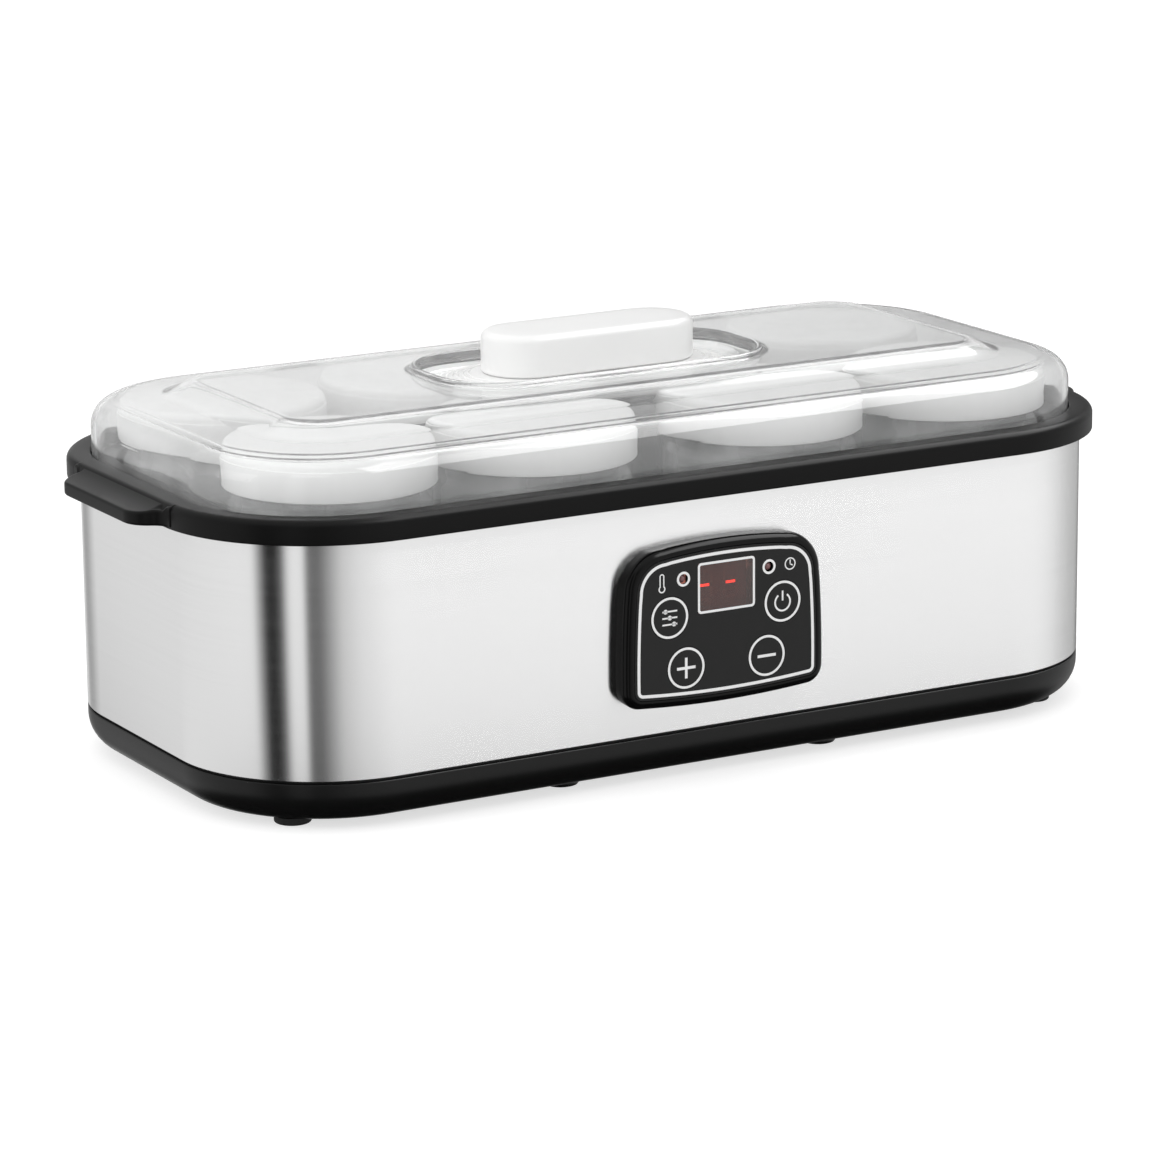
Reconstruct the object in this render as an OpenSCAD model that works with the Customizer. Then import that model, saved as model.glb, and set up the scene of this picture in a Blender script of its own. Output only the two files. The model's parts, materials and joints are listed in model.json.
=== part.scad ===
// Yogurt maker for eight glass jars. Millimetres, Z up, front towards -Y,
// origin on the table under the middle of the housing.

/* [Jars] */
// Outer diameter of a glass jar
jar_d = 66; // [62:0.5:68]
// Height of a jar without its cap
jar_h = 75.4; // [60:0.1:90]
// Thickness of the glass
jar_wall = 2.6; // [2:0.1:3.5]
// How much the jar's neck is set in from its body, on each side
neck_in = 1.75; // [1:0.05:3]
// Height of the neck above the shoulder
neck_h = 15; // [14:0.5:20]
// Distance between two neighbouring jars of a row
jar_pitch = 74.5; // [74:0.5:80]
// Distance between the two middle jars of a row
middle_pitch = 88; // [80:0.5:96]
// Distance between the two rows
row_pitch = 79; // [76:0.5:84]

/* [Jar caps] */
// How far a cap stands out past its jar, on each side
cap_over = 1.8; // [1.4:0.1:2.5]
// Overall height of a cap
cap_h = 13.1; // [10:0.1:14]
// Thickness of a cap's top
cap_top_t = 1.5; // [1.2:0.1:2]
// Thickness of a cap's skirt
cap_skirt_t = 1.3; // [1:0.1:1.4]

/* [Tub] */
// Free space around the jars inside the tub
jar_gap = 2; // [1.5:0.1:4]
// Wall thickness of the tub
tub_t = 2.2; // [1.6:0.1:3]
// Inner corner radius of the tub seen from above
tub_r = 36; // [30:1:36]
// Rounding between the tub's wall and its floor
tub_fillet = 4; // [2:0.5:5]

/* [Housing] */
// Free depth between the tub and the sleeve, front and back
side_gap = 6.75; // [6.5:0.05:12]
// Free length between the tub and the sleeve at each end
end_gap = 13.5; // [10:0.5:20]
// Thickness of the sheet steel
sheet_t = 0.8; // [0.6:0.1:1.2]
// Outer corner radius of the steel sleeve
sleeve_r = 52; // [50:1:54]
// Height of the base pan
pan_h = 15; // [14:0.5:20]
// Wall thickness of the base pan
pan_t = 2.4; // [2:0.1:3]
// Radius of the base pan's lower edge
pan_round = 11.2; // [9:0.1:12]
// Height of the works between the base pan and the tub's floor
bay_h = 24; // [24:0.5:32]

/* [Rim] */
// How far the rim stands out past the steel
rim_over = 4.4; // [2:0.1:6]
// Height of the rim above the steel
rim_h = 8; // [7:0.1:10]
// Width of the flat ledge around the lid
ledge_w = 8.1; // [7:0.1:8.5]
// How deep the lid sits below the ledge
lid_sink = 3.5; // [2.5:0.1:4]
// Width of a handle across the end of the rim
handle_w = 64; // [50:1:90]
// How far a handle stands out
handle_out = 9.6; // [8:0.1:16]
// Thickness of a handle's outer edge
handle_t = 4.6; // [4:0.1:6]

/* [Lid] */
// Wall thickness of the clear lid
lid_t = 1.8; // [1.5:0.1:2]
// Radius of the lid's shoulder
shoulder_r = 8.5; // [7:0.1:9]
// Free height between the caps and the floor of the knob's well
cap_head_gap = 1.1; // [0.8:0.1:3]
// Width of the shoulder's band between the edge and the raised middle
band_w = 21.5; // [16:0.5:25]
// Height of the raised middle above the shoulder's edge
crown_h = 5.9; // [3:0.1:7]
// Length of the well around the knob
well_l = 120; // [110:1:130]
// Depth of the well around the knob, front to back
well_w = 56; // [52:1:60]
// Corner radius of the well
well_r = 22; // [18:1:25]
// Height of the bead around the well
bead_h = 1.3; // [0.8:0.1:2]

/* [Knob] */
// Length of the knob
knob_l = 78.5; // [60:0.5:84]
// Width of the knob
knob_w = 30; // [24:1:34]
// Height of the knob
knob_h = 14.4; // [9:0.1:16]
// Rounding of the knob's top edge
knob_round = 3; // [1:0.25:4]
// Number of ridges around the knob
ridges = 5; // [3:1:7]
// Distance between two ridges
ridge_pitch = 1.8; // [1.2:0.1:2]
// Height from one ridge to the next
ridge_rise = 0.5; // [0.3:0.05:0.8]

/* [Panel] */
// Width of the control panel
panel_w = 76.4; // [74:0.2:90]
// Height of the control panel
panel_h = 55.7; // [54:0.1:62]
// Height of the panel's lower edge above the base pan
panel_up = 9.3; // [6:0.1:11]
// How far the panel stands out from the steel
panel_proud = 6.95; // [6.5:0.05:8]
// Rise of the panel's upper edge in the middle
panel_crown = 1.9; // [1:0.1:3]
// Drop of the panel's lower edge in the middle
panel_sag = 1.3; // [0.5:0.1:2]
// Width of the glossy frame around the panel's face
frame_w = 3.3; // [2.5:0.1:4]
// Diameter of a button
button_d = 14.1; // [12:0.1:14.5]
// Travel of a button
button_travel = 0.5; // [0.3:0.05:0.7]
// Distance between the centres of the two upper buttons
upper_pitch = 43.2; // [42:0.1:46]
// Distance between the centres of the two lower buttons
lower_pitch = 30.9; // [28:0.1:36]
// Width of the display window
window_w = 21.8; // [16:0.1:22]
// Height of the display window
window_h = 17.1; // [14:0.1:18]
// Height of the upper buttons above the panel's lower edge
upper_up = 31.4; // [31:0.1:33]
// Height of the lower buttons above the panel's lower edge
lower_up = 13.7; // [12:0.1:15]
// Height of the lamps above the panel's lower edge
led_up = 43.8; // [42:0.1:45]
// Height of the display window's lower edge above the panel's lower edge
window_up = 31.2; // [29:0.1:32]

/* [Feet and screws] */
// Diameter of a rubber foot
foot_d = 12.3; // [8:0.1:12.5]
// Height of a rubber foot
foot_h = 2.5; // [2:0.1:4]
// Shaft diameter of the housing's screws
screw_d = 3; // [2.5:0.1:3.5]
// Diameter of the cord's hole in its grommet
cord_d = 7; // [5:0.1:8]

/* [Hidden] */
$fn = 96;

// Small clearances
slip = 0.2;
seat = 0.3;
seam_t = 0.2;
over = 1;

// Places of the jars: 1 to 4 are the front row from left to right, 5 to 8 the back row
inner_x = middle_pitch / 2;
outer_x = inner_x + jar_pitch;
row_y = row_pitch / 2;
jar_x = [-outer_x, -inner_x, inner_x, outer_x];
cap_d = jar_d + 2 * cap_over;

// Plan sizes, each one outwards from the jars
tub_l = 2 * (outer_x + jar_gap) + jar_d;
tub_w = 2 * (row_y + jar_gap) + jar_d;
sleeve_l = tub_l + 2 * (tub_t + end_gap + sheet_t);
sleeve_w = tub_w + 2 * (tub_t + side_gap + sheet_t);
rim_l = sleeve_l + 2 * rim_over;
rim_w = sleeve_w + 2 * rim_over;
rim_r = sleeve_r + rim_over;
lid_clear = 0.35;
lid_l = rim_l - 2 * (ledge_w + lid_clear);
lid_w = rim_w - 2 * (ledge_w + lid_clear);
lid_r = rim_r - ledge_w - lid_clear;

// Heights above the table
pan_z = foot_h;
sleeve_z = pan_z + pan_h;
floor_z = sleeve_z + bay_h;
jar_z = floor_z + seat;
cap_z = jar_z + jar_h + slip + cap_top_t - cap_h;
cap_top_z = cap_z + cap_h;
rim_z = cap_z - 2;
sleeve_top_z = rim_z - rim_h;
lid_z = rim_z - lid_sink;
flange_t = 1.7;
well_z = cap_top_z + cap_head_gap + lid_t;
edge_z = cap_top_z + 2.2;
crown_z = edge_z + crown_h;
plate_t = 0.9;
knob_z = well_z + plate_t + ridges * ridge_rise;

// Panel, with its face in the plane y = face_y
face_y = -sleeve_w / 2 - panel_proud;
steel_y = -sleeve_w / 2;
panel_z = sleeve_z + panel_up;
overlay_t = 0.6;
bezel_t = 2.4;
board_t = 1.6;
switch_h = 4.6;
board_y = steel_y + 2.2;
board_w = panel_w - 10.4;
board_z = panel_z + 4.5;
board_h = panel_h - 9.7;
upper_z = panel_z + upper_up;
lower_z = panel_z + lower_up;
led_x = window_w / 2 + 5.45;
led_z = panel_z + led_up;
led_d = 3;
window_z = panel_z + window_up;
button_at = [[-upper_pitch / 2, upper_z], [upper_pitch / 2, upper_z],
    [-lower_pitch / 2, lower_z], [lower_pitch / 2, lower_z]];
board_screw_at = [for (sx = [-1, 1], upper = [0, 1])
    [sx * (board_w / 2 - 3.5 - 1.5 * upper), 7.5 + upper * (panel_h - 16.7)]];

// Base pan, feet and the pillars that hold the housing together
pillar_d = 9;
pillar_at = [outer_x + 7.5, row_y + 8.5];
pillar_z = sleeve_z + 8.5;
foot_at = [sleeve_l / 2 - 26, sleeve_w / 2 - 25.25];
head_d = 6.5;
base_screw_l = 26;
base_screw_rise = 5;
knob_screw_bite = 7;
knob_head_d = 6.4;

// Power board under the tub, on four standoffs
power_at = [36, 18];
power_size = [78, 52];
power_screw_at = [power_size[0] / 2 - 4, power_size[1] / 2 - 4];
power_z = pan_z + pan_t + 6;
gland_d = cord_d + 5;
cord_at = [sleeve_l / 2 - sleeve_r - 10, sleeve_z + gland_d + 1];
heater_t = 1.2;
heater_corner = 8;
heater_size = [2 * pillar_at[0] - pillar_d - 11, tub_w - 51];
heater_z = floor_z - tub_t - heater_t;
wire_d = 2.6;
wire_runs = 6;
wire_pitch = (heater_size[1] - 23) / (wire_runs - 1);
wire_l = heater_size[0] - 32;
wire_z = heater_z - wire_d / 2 - 0.1;
lead_d = 2.2;

// Carries a profile round a rounded rectangle. The profile's x = 0 is the corner's axis.
module around(l, w, r) {
    cx = l / 2 - r;
    cy = w / 2 - r;
    for (q = [0 : 3]) {
        a = q % 2 == 0 ? cx : cy;
        b = q % 2 == 0 ? cy : cx;
        rotate([0, 0, 90 * q]) translate([a, b, 0]) {
            rotate_extrude(angle = 90) children();
            if (b > 0.01) rotate([90, 0, 0]) linear_extrude(2 * b) children();
        }
    }
}

// Plate with round corners, from z = 0 up
module slab(l, w, r, h) {
    around(l, w, r) square([r, h]);
    if (w - 2 * r > 0.01)
        translate([r - l / 2, r - w / 2, 0]) cube([l - 2 * r, w - 2 * r, h]);
    else if (l - 2 * r > 0.01)
        translate([r - l / 2, -0.005, 0]) cube([l - 2 * r, 0.01, h]);
}

// Half section from the axis to (x, y) whose lower outer corner is rounded
module bowl_section(x, y, r) {
    square([x - r, y]);
    translate([x - r, r]) square([r, y - r]);
    translate([x - r, r]) intersection() {
        circle(r);
        translate([0, -r]) square(r);
    }
}

// Half section from the axis to (x, y) whose upper outer corner is rounded
module dome_section(x, y, r) {
    translate([0, y]) mirror([0, 1]) bowl_section(x, y, r);
}

// Extrudes a drawing in X and Z from y = y0 to y = y0 + t
module upright(y0, t) {
    translate([0, y0 + t, 0]) rotate([90, 0, 0]) linear_extrude(t) children();
}

// Round bar along Y, from y = y0 to y = y1
module bar(x, z, y0, y1, d) {
    translate([x, y1, z]) rotate([90, 0, 0]) cylinder(d = d, h = y1 - y0);
}

// Copies in all four corners
module corners(at) {
    for (sx = [-1, 1], sy = [-1, 1]) translate([sx * at[0], sy * at[1], 0]) children();
}

// Screw pointing up, with the underside of its head at z = 0
module screw(d, l, head, head_h) {
    cylinder(d = d, h = l);
    translate([0, 0, -head_h]) difference() {
        cylinder(d = head, h = head_h);
        for (a = [0, 90]) rotate([0, 0, a]) translate([-head * 0.3, -head * 0.07, -over])
            cube([head * 0.6, head * 0.14, over + head_h / 2]);
    }
}

// ---- Housing ----

module base_pan() color([0.09, 0.09, 0.1]) {
    lip_out = sleeve_r - sheet_t - slip;
    lip_t = 2.2;
    difference() {
        union() {
            translate([0, 0, pan_z]) {
                around(sleeve_l, sleeve_w, sleeve_r) {
                    difference() {
                        bowl_section(sleeve_r, pan_h, pan_round);
                        translate([0, pan_t])
                            bowl_section(sleeve_r - pan_t, pan_h, pan_round - pan_t);
                    }
                    translate([lip_out - lip_t, pan_h - 4]) square([lip_t, 8.5]);
                }
                cx = sleeve_l / 2 - sleeve_r;
                cy = sleeve_w / 2 - sleeve_r;
                translate([-cx, -cy, 0]) cube([2 * cx, 2 * cy, pan_t]);
            }
            corners(pillar_at) translate([0, 0, pan_z + pan_t / 2])
                cylinder(d = pillar_d, h = pillar_z - pan_z - pan_t / 2);
            translate([power_at[0], power_at[1], pan_z + pan_t / 2])
                corners(power_screw_at)
                    cylinder(d = 6, h = power_z - pan_z - pan_t / 2);
            // Low pads between the feet
            for (sy = [-1, 1]) translate([-45, sy * (foot_at[1] + 0.5), pan_z - 0.7])
                cylinder(d = 9.5, h = 1.5);
        }
        corners(pillar_at) {
            translate([0, 0, pan_z - over]) cylinder(d = screw_d + 0.6, h = pillar_z);
            translate([0, 0, pan_z - over]) cylinder(d = head_d + 1, h = over + 6);
        }
        corners(foot_at) translate([0, 0, pan_z - over]) cylinder(d = 5.2, h = pan_t + 2 * over);
        translate([power_at[0], power_at[1], power_z - 5])
            corners(power_screw_at) cylinder(d = 2.2, h = 6);
    }
}

module foot(sx, sy) color([0.12, 0.12, 0.12])
    translate([sx * foot_at[0], sy * foot_at[1], 0]) rotate_extrude() {
        bowl_section(foot_d / 2, foot_h, 0.8);
        square([2.45, foot_h + pan_t + 0.5]);
        translate([0, foot_h + pan_t + 0.2]) polygon([[0, 0], [3.1, 0], [2.2, 1.8], [0, 1.8]]);
    }

module base_screws() color([0.7, 0.7, 0.72])
    corners(pillar_at) translate([0, 0, pan_z + base_screw_rise]) screw(screw_d, base_screw_l, head_d, 2.4);

// One sheet wraps the front and both ends, and a flat one closes the back between two seams
module steel_sleeve() color([0.8, 0.8, 0.8]) difference() {
    translate([0, 0, sleeve_z]) around(sleeve_l, sleeve_w, sleeve_r)
        translate([sleeve_r - sheet_t, 0]) square([sheet_t, sleeve_top_z - sleeve_z]);
    upright(steel_y - over, 2 * over + sheet_t) panel_outline(3.4);
    bar(cord_at[0], cord_at[1], -steel_y - sheet_t - over, -steel_y + over, gland_d);
    for (sx = [-1, 1]) translate([sx * (sleeve_l / 2 - sleeve_r - seam_t), -steel_y, sleeve_z])
        cube([seam_t, 4 * sheet_t, 2.2 * (sleeve_top_z - sleeve_z)], center = true);
}

// Section of the rim: outer wall, ledge, seat of the tub's flange and the lip in the sleeve
module rim_section() {
    seat_x = rim_r - ledge_w;
    round_r = 2.5;
    shelf_x = seat_x - 1.95;
    lip_t = 2.05;
    lip_h = 4.5;
    lip_x = sleeve_r - sheet_t - slip - lip_t;
    difference() {
        translate([shelf_x, 0]) square([rim_r - shelf_x, rim_h]);
        translate([shelf_x - over, rim_h - lid_sink - flange_t])
            square([seat_x - shelf_x + over, rim_h]);
        translate([rim_r - round_r, rim_h - round_r]) difference() {
            square(round_r + over);
            circle(round_r);
        }
    }
    translate([lip_x, -lip_h]) square([lip_t, lip_h]);
}

// Plan of a handle and the rim's end that carries it, with hollow fillets between them
module handle_plan() intersection() {
    corner_r = 10;
    end_x = rim_l / 2;
    offset(r = -6) offset(delta = 6) {
        for (sy = [-1, 1]) {
            translate([end_x - rim_r, sy * (rim_w / 2 - rim_r)]) circle(rim_r);
            translate([end_x + handle_out - corner_r, sy * (handle_w / 2 - corner_r)])
                circle(corner_r);
        }
        translate([end_x - rim_r, rim_r - rim_w / 2]) square([rim_r, rim_w - 2 * rim_r]);
        translate([end_x - corner_r, -handle_w / 2]) square([handle_out, handle_w]);
        translate([end_x, corner_r - handle_w / 2]) square([handle_out, handle_w - 2 * corner_r]);
    }
    translate([end_x - 4, -handle_w]) square([handle_out + corner_r, 2 * handle_w]);
}

module rim_collar() color([0.07, 0.07, 0.08]) {
    translate([0, 0, sleeve_top_z]) around(rim_l, rim_w, rim_r) rim_section();
    x0 = rim_l / 2 - 4;
    x1 = rim_l / 2 + handle_out;
    low = sleeve_top_z + 0.5;
    edge = 0.9;
    steps = 5;
    slope = [for (k = [0 : steps], s = k / steps) [x1 - edge - s * (x1 - edge - x0 - 2.4),
        low + handle_t + s * s * (rim_z - 0.35 - low - handle_t)]];
    for (turn = [0, 180]) rotate([0, 0, turn]) intersection() {
        translate([0, 0, low - over]) linear_extrude(rim_h + 3) handle_plan();
        rotate([90, 0, 0]) linear_extrude(2 * handle_w, center = true) polygon(concat([
            [x0, low + 0.5], [x0 + 3, low + 0.5], [x0 + 6, low], [x1 - edge, low], [x1, low + edge],
            [x1, low + handle_t - edge]], slope, [[x0, rim_z - 0.35]]));
    }
}

module inner_tub() color([0.14, 0.14, 0.15]) {
    depth = lid_z - floor_z;
    difference() {
        union() {
            translate([0, 0, floor_z]) around(tub_l, tub_w, tub_r) difference() {
                translate([0, -tub_t]) bowl_section(tub_r + tub_t, depth + tub_t, tub_fillet + tub_t);
                bowl_section(tub_r, depth + over, tub_fillet);
            }
            cx = tub_l / 2 - tub_r;
            cy = tub_w / 2 - tub_r;
            translate([-cx, -cy, floor_z - tub_t]) cube([2 * cx, 2 * cy, tub_t]);
            translate([0, 0, lid_z - flange_t]) difference() {
                slab(lid_l + 0.2, lid_w + 0.2, lid_r + 0.1, flange_t);
                translate([0, 0, -over])
                    slab(tub_l + tub_t, tub_w + tub_t, tub_r + tub_t / 2, flange_t + 2 * over);
            }
            corners(pillar_at) translate([0, 0, pillar_z])
                cylinder(d = pillar_d, h = floor_z - tub_t / 2 - pillar_z);
        }
        corners(pillar_at) translate([0, 0, pillar_z - over])
            cylinder(d = screw_d + 0.1, h = over + 10);
    }
}

// ---- Heater under the tub ----

module heater_plate() color([0.75, 0.76, 0.78])
    translate([0, 0, heater_z]) slab(heater_size[0], heater_size[1], heater_corner, heater_t);

module heating_element() color([0.75, 0.35, 0.2]) {
    y0 = -(wire_runs - 1) / 2 * wire_pitch;
    for (k = [0 : wire_runs - 1])
        translate([-wire_l / 2, y0 + k * wire_pitch, wire_z]) rotate([0, 90, 0])
            cylinder(d = wire_d, h = wire_l);
    for (k = [0 : wire_runs - 2]) {
        side = k % 2 == 0 ? 1 : -1;
        translate([side * wire_l / 2, y0 + (k + 0.5) * wire_pitch, wire_z]) rotate([0, 0, -90 * side])
            rotate_extrude(angle = 180) translate([wire_pitch / 2, 0]) circle(d = wire_d);
    }
}

module temperature_sensor() color([0.2, 0.2, 0.22])
    translate([-8, 0, heater_z - 2.1]) rotate([0, 90, 0]) {
        cylinder(d = 4, h = 16);
        translate([0, 0, 16]) sphere(d = 4);
    }

module sensor_clip() color([0.8, 0.8, 0.82]) {
    inner = 2.25;
    difference() {
        translate([-3, 0, heater_z - 2.1]) rotate([0, 90, 0]) union() {
            cylinder(r = inner + 0.6, h = 6);
            translate([-2.1, -inner - 0.6, 0]) cube([2.1, 2 * inner + 1.2, 6]);
        }
        translate([-3 - over, 0, heater_z - 2.1]) rotate([0, 90, 0]) union() {
            cylinder(r = inner, h = 6 + 2 * over);
            translate([-4, -inner, 0]) cube([4, 2 * inner, 6 + 2 * over]);
        }
    }
    for (sy = [-1, 1]) translate([-3, sy > 0 ? inner : -inner - 3.4, heater_z - 0.6]) cube([6, 3.4, 0.6]);
}

module thermal_fuse() color([0.85, 0.83, 0.78])
    translate([-52, 0, heater_z - 2.1]) rotate([0, 90, 0]) {
        cylinder(d = 4, h = 11);
        translate([0, 0, -9]) cylinder(d = 1, h = 29);
    }

// ---- Control panel ----

// Outline of the panel's face in X and Z, set in by the given amount
module panel_outline(inset = 0) offset(delta = -inset) translate([0, panel_z])
    for (part = [[14, 0.5], [6.5, 0]]) intersection() {
        offset(r = part[0], $fn = 48) offset(delta = -part[0]) panel_blank();
        translate([-panel_w, part[1] * panel_h]) square([2 * panel_w, panel_h / 2]);
    }

// The panel's outline with sharp corners: four shallow arcs
module panel_blank() {
    side_r = 400;
    top_r = pow(panel_w / 2 - 10, 2) / (2 * panel_crown);
    low_r = pow(panel_w / 2 - 7, 2) / (2 * panel_sag);
    intersection() {
        translate([0, panel_h - top_r]) circle(top_r, $fn = 360);
        translate([0, low_r]) circle(low_r, $fn = 600);
        intersection_for(side = [-1, 1])
            translate([side * (panel_w / 2 - side_r), 12]) circle(side_r, $fn = 600);
    }
}

module panel_bezel() color([0.05, 0.05, 0.06]) difference() {
    edge_r = 3;
    steps = 4;
    union() {
        difference() {
            union() {
                // Face with a rounded edge
                hull() for (k = [0 : steps]) {
                    a = 90 * k / steps;
                    upright(face_y + edge_r * (1 - sin(a)), k == 0 ? panel_proud - edge_r : 0.01)
                        panel_outline(edge_r * (1 - cos(a)));
                }
                upright(steel_y - over, over + 2.2) panel_outline(3.7);
            }
            // Seat of the face plate
            upright(face_y - over, over + overlay_t) panel_outline(frame_w);
            // Hollow behind the face
            upright(face_y + bezel_t, 20) panel_outline(5.2);
            window_opening(1);
            for (p = button_at)
                bar(p[0], p[1], face_y - over, face_y + bezel_t + over, button_d + 0.5);
            for (sx = [-1, 1])
                bar(sx * led_x, led_z, face_y - over, face_y + bezel_t + over, led_d + 0.4);
        }
        for (p = board_screw_at) bar(p[0], panel_z + p[1], face_y + bezel_t - 0.5, board_y, 5);
    }
    for (p = board_screw_at) bar(p[0], panel_z + p[1], board_y - 5, board_y + over, 2);
}

module window_opening(inset) upright(face_y - over, bezel_t + 2 * over)
    translate([0, window_z + window_h / 2])
        square([window_w - 2 * inset, window_h - 2 * inset], center = true);

module panel_overlay() color([0.08, 0.08, 0.09]) difference() {
    upright(face_y, overlay_t) panel_outline(frame_w + 0.1);
    window_opening(0);
    for (p = button_at) bar(p[0], p[1], face_y - over, face_y + bezel_t, button_d + 0.4);
    for (sx = [-1, 1]) bar(sx * led_x, led_z, face_y - over, face_y + bezel_t, led_d + 0.3);
}

module display_window() color([0.3, 0.08, 0.05])
    upright(face_y, overlay_t) translate([0, window_z + window_h / 2])
        square([window_w - 0.2, window_h - 0.2], center = true);

module display_module() color([0.75, 0.72, 0.7]) {
    front = face_y + 4.8;
    w = window_w - 0.8;
    h = window_h + 1.4;
    middle = window_z + window_h / 2 - 1.5;
    seg_l = 4;
    seg_t = 0.9;
    pitch = seg_l + seg_t + 0.2;
    difference() {
        upright(front, board_y - front) translate([0, middle]) square([w, h], center = true);
        // Two digits of seven segments
        for (digit = [-1, 1]) translate([digit * w * 0.235, front, middle]) {
            for (row = [-1, 0, 1]) translate([-seg_l / 2, -over, row * pitch - seg_t / 2])
                cube([seg_l, over + 0.5, seg_t]);
            for (col = [-1, 1], row = [-1, 1])
                translate([(col * pitch - seg_t) / 2, -over, (row * pitch - seg_l) / 2])
                    cube([seg_t, over + 0.5, seg_l]);
        }
    }
}

module control_board() color([0.1, 0.35, 0.2]) difference() {
    upright(board_y, board_t) translate([-board_w / 2, board_z]) square([board_w, board_h]);
    for (p = board_screw_at) bar(p[0], panel_z + p[1], board_y - over, board_y + board_t + over, 2.5);
}

module tact_switches() color([0.2, 0.2, 0.2]) for (p = button_at) {
    upright(board_y - switch_h + 1.2, switch_h - 1.2) translate([p[0] - 3, p[1] - 3]) square(6);
    bar(p[0], p[1], board_y - switch_h, board_y - 3, 3.4);
}

// Lamp with its flange against the board
module led(x, c) color(c) {
    tip = face_y + led_d / 2 + 0.3;
    bar(x, led_z, tip, board_y, led_d);
    translate([x, tip, led_z]) sphere(d = led_d);
    bar(x, led_z, board_y - 1, board_y, led_d + 0.8);
}

// Button: cap, retaining flange behind the face and a stem down to its switch
module button(k) color([0.08, 0.08, 0.09]) {
    p = button_at[k];
    stop = face_y + bezel_t + 0.1;
    bar(p[0], p[1], face_y, stop + 0.1, button_d);
    bar(p[0], p[1], stop, stop + 0.8, button_d + 1.7);
    bar(p[0], p[1], stop, board_y - switch_h - button_travel - 0.1, 5);
}

module panel_screws() color([0.7, 0.7, 0.72]) for (p = board_screw_at)
    translate([p[0], board_y + board_t, panel_z + p[1]]) rotate([90, 0, 0]) screw(1.8, 6, 3.6, 1.3);

// ---- Electronics in the base ----

// Flat strip along a path in Y and Z, centred on x
module strip(x, w, t, path) translate([x - w / 2, 0, 0]) rotate([90, 0, 90]) linear_extrude(w)
    for (k = [0 : len(path) - 2]) hull()
        for (p = [path[k], path[k + 1]]) translate(p) circle(d = t, $fn = 16);

module ribbon_cable() color([0.75, 0.75, 0.78]) {
    plug_w = 14;
    x = power_at[0] - power_screw_at[0] + plug_w / 2 + 4;
    y0 = board_y + board_t + 1.6;
    y1 = power_at[1] - power_size[1] / 2;
    low = pan_z + pan_t + 2.5;
    strip(x, plug_w - 2, 0.9, [[y0, board_z + 2], [y0, low + 1.5], [y0 + 17, low], [y1 - 12, low],
        [y1 - 2, power_z + 0.8], [y1 + 1, power_z + board_t + 2.6]]);
    translate([x - plug_w / 2, board_y + board_t, board_z + 1]) cube([plug_w, 2.6, 6]);
    translate([x - plug_w / 2, y1 + 0.5, power_z + board_t]) cube([plug_w, 6, 5]);
}

// Places something on the power board, x and y from the board's middle
module on_board(x, y) translate([power_at[0] + x, power_at[1] + y, power_z + board_t]) children();

module power_board() color([0.12, 0.38, 0.22]) on_board(0, 0) difference() {
    translate([-power_size[0] / 2, -power_size[1] / 2, -board_t])
        cube([power_size[0], power_size[1], board_t]);
    corners(power_screw_at) translate([0, 0, -board_t - over]) cylinder(d = 3, h = 4);
}

// Iron core with its winding across
module transformer() color([0.25, 0.2, 0.15]) on_board(18, 2) {
    translate([-15, -13, 0]) cube([30, 26, 17]);
    translate([-10, -16, 1.5]) cube([20, 32, 14]);
}

module filter_capacitor() color([0.1, 0.12, 0.3])
    on_board(-8, power_size[1] / 2 - 9) rotate_extrude() dome_section(5, 15.5, 0.8);

module relay() color([0.15, 0.3, 0.6]) on_board(9 - power_size[0] / 2, -8)
    cube([19, 15, 15]);

module board_screws() color([0.7, 0.7, 0.72])
    on_board(0, 0) corners(power_screw_at) mirror([0, 0, 1]) screw(2, 6, 4.4, 1.5);

// Round lead through the given points
module lead(points, d) for (k = [0 : len(points) - 2]) hull()
    for (p = [points[k], points[k + 1]]) translate(p) sphere(d = d, $fn = 10);

module heater_leads() color([0.75, 0.2, 0.15]) {
    y0 = -(wire_runs - 1) / 2 * wire_pitch;
    x0 = -wire_l / 2 - lead_d / 2 - 0.1;
    board = [power_at[0] - power_size[0] / 2 + 3, power_at[1] + 14, power_z + board_t + lead_d / 2 + 0.1];
    for (s = [-1, 1]) lead([[x0, -s * y0, wire_z], [x0 - 5, -s * y0, wire_z - 3],
        [x0 - 5, -s * (y0 + 6), wire_z - 12], [-40, s * 12 + 6, wire_z - 14],
        board + [0, s * 3, 0]], lead_d);
}

module cord_gland() color([0.08, 0.08, 0.08])
    translate([cord_at[0], -steel_y, cord_at[1]]) rotate([-90, 0, 0]) difference() {
        translate([0, 0, -sheet_t - 2]) rotate_extrude() {
            square([gland_d / 2 - 0.1, 5.7 + sheet_t]);
            square([gland_d / 2 + 2, 1.8]);
            translate([0, 2 + sheet_t]) dome_section(gland_d / 2 + 2, 2.7, 0.9);
        }
        translate([0, 0, -5]) cylinder(d = cord_d, h = 15);
    }

// ---- Lid ----

module lid_section() {
    arc_x = lid_r - shoulder_r;
    arc_z = edge_z - shoulder_r;
    step_x = arc_x - band_w;
    translate([lid_r - lid_t, lid_z]) square([lid_t, arc_z - lid_z]);
    translate([arc_x, arc_z]) intersection() {
        difference() {
            circle(shoulder_r);
            circle(shoulder_r - lid_t);
        }
        square(shoulder_r);
    }
    top = [[arc_x, edge_z], [arc_x - 0.6, edge_z + 0.5], [step_x + 1.3, edge_z + 1.5],
        [step_x + 0.3, edge_z + 1.9], [step_x - 1.2, crown_z - 0.4], [step_x - 2.2, crown_z], [0, crown_z]];
    last = len(top) - 1;
    polygon(concat(top, [for (k = [last : -1 : 0]) top[k] - [0, lid_t]]));
}

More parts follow.
